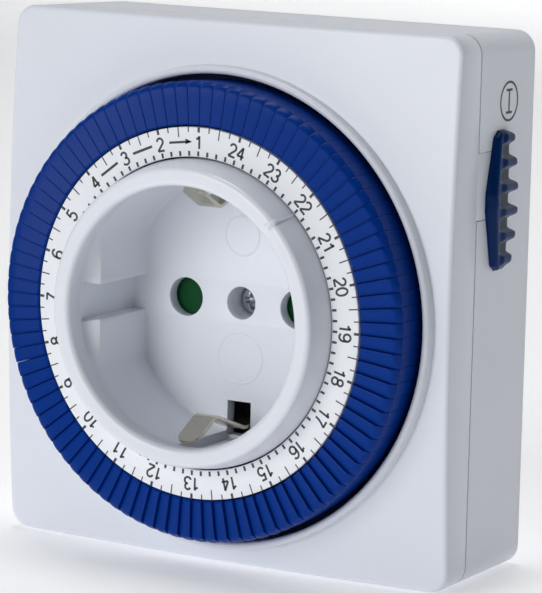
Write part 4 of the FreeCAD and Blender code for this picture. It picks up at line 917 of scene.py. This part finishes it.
# The dial ring gets the near-black carrier look, which is painted shade for the gap round the tappets.
NODE_LOOKS = {
    "rear_housing": WHITE, "dial_ring": CARRIER_PAINTED_SHADE, "safety_shutter": GREEN, "gear_two": NATURAL,
    "gear_one": NATURAL, "motor_pinion": NATURAL, "chassis_plate": NATURAL, "switch_lever": NATURAL,
    "earth_strap": NICKEL, "neutral_contact": BRASS, "live_contact": BRASS, "fixed_contact": BRASS,
    "live_supply_bar": BRASS, "moving_contact": BRASS, "gear_arbors": STEEL, "timer_motor": STEEL,
    "lever_pivot_pin": STEEL,
}
for label, look in NODE_LOOKS.items():
    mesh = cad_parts[label].data
    mesh.materials.clear()
    mesh.materials.append(look)


# Stage, light and camera

def stage():
    """Plain pale floor that curves up into a backdrop far behind: a profile in metres, carried along X."""
    level = BOX_LOW * MM - 0.0003
    curve = rounded([(-9.0, 0.0), (4.0, 0.0), (4.0, 6.0)], [0, 1.6, 0], 24)
    rows = [[(x, y, z + level) for x in (-9.0, 9.0)] for y, z in curve]
    mesh = bpy.data.meshes.new("pale_floor")
    mesh.from_pydata(np.array(rows).reshape(-1, 3).tolist(), [], grid_faces(len(rows), 2))
    mesh.polygons.foreach_set("use_smooth", np.ones(len(mesh.polygons), bool))
    floor = bpy.data.objects.new("pale_floor", mesh)
    bpy.context.scene.collection.objects.link(floor)
    look = material("pale_studio_floor", MOULDED, (0.93, 0.93, 0.94), 0.6, clouding=0.0, glow=0.3)
    floor.data.materials.append(look)


def soft_light(name, place, aim, size, power):
    """A round area lamp at a place, turned to face its aim."""
    lamp = bpy.data.lights.new(name, "AREA")
    lamp.shape = "DISK"
    lamp.size = size
    lamp.energy = power
    holder = bpy.data.objects.new(name, lamp)
    holder.location = place
    holder.rotation_euler = (Vector(aim) - Vector(place)).to_track_quat("-Z", "Y").to_euler()
    bpy.context.scene.collection.objects.link(holder)


VIEW_DISTANCE, VIEW_AIM = 505.778, (7.417, -EDGE_DEPTH, 2.271)
SENSOR_HEIGHT, FOCAL_PIXELS, PHOTO_HEIGHT = 24.0, 3522.56, 593


def camera():
    """The photograph's view: 30.8 degrees to the right of the front, 9.2 above, with a slight roll."""
    azimuth, elevation, roll = map(math.radians, (30.815, 9.225, 1.341))
    level = math.cos(elevation)
    back = Vector((math.sin(azimuth) * level, -math.cos(azimuth) * level, math.sin(elevation)))
    right = Vector((math.cos(azimuth), math.sin(azimuth), 0))
    up = back.cross(right)
    rolled_right = right * math.cos(roll) + up * math.sin(roll)
    rolled_up = up * math.cos(roll) - right * math.sin(roll)
    place = (back * VIEW_DISTANCE + Vector(VIEW_AIM)) * MM
    lens = bpy.data.cameras.new("photo_view")
    lens.sensor_fit = "VERTICAL"
    lens.sensor_height = SENSOR_HEIGHT
    lens.lens = SENSOR_HEIGHT * FOCAL_PIXELS / PHOTO_HEIGHT
    lens.clip_start = 0.01
    view = bpy.data.objects.new("photo_view", lens)
    turn = Matrix((rolled_right, rolled_up, back)).transposed().to_4x4()
    view.matrix_world = Matrix.Translation(place) @ turn
    bpy.context.scene.collection.objects.link(view)
    bpy.context.scene.camera = view


stage()
camera()
world = bpy.data.worlds.new("studio")
world.use_nodes = True
sky = world.node_tree.nodes["Background"]
sky.inputs["Color"].default_value = (0.86, 0.93, 1.0, 1)
sky.inputs["Strength"].default_value = 0.06
bpy.context.scene.world = world
soft_light("key", (-0.42, -1.2, 0.42), (0, -0.04, 0), 0.7, 6.4)
soft_light("low_front", (-0.22, -1.3, -0.02), (0, -0.04, 0), 0.44, 3.2)
soft_light("overhead", (-0.1, 0.1, 1.3), (0, -0.04, 0), 0.5, 6.0)
soft_light("back_wash", (0.0, 1.6, 1.4), (0, 3.0, 0.4), 2.0, 40.0)
bpy.context.scene.view_settings.view_transform = "Standard"
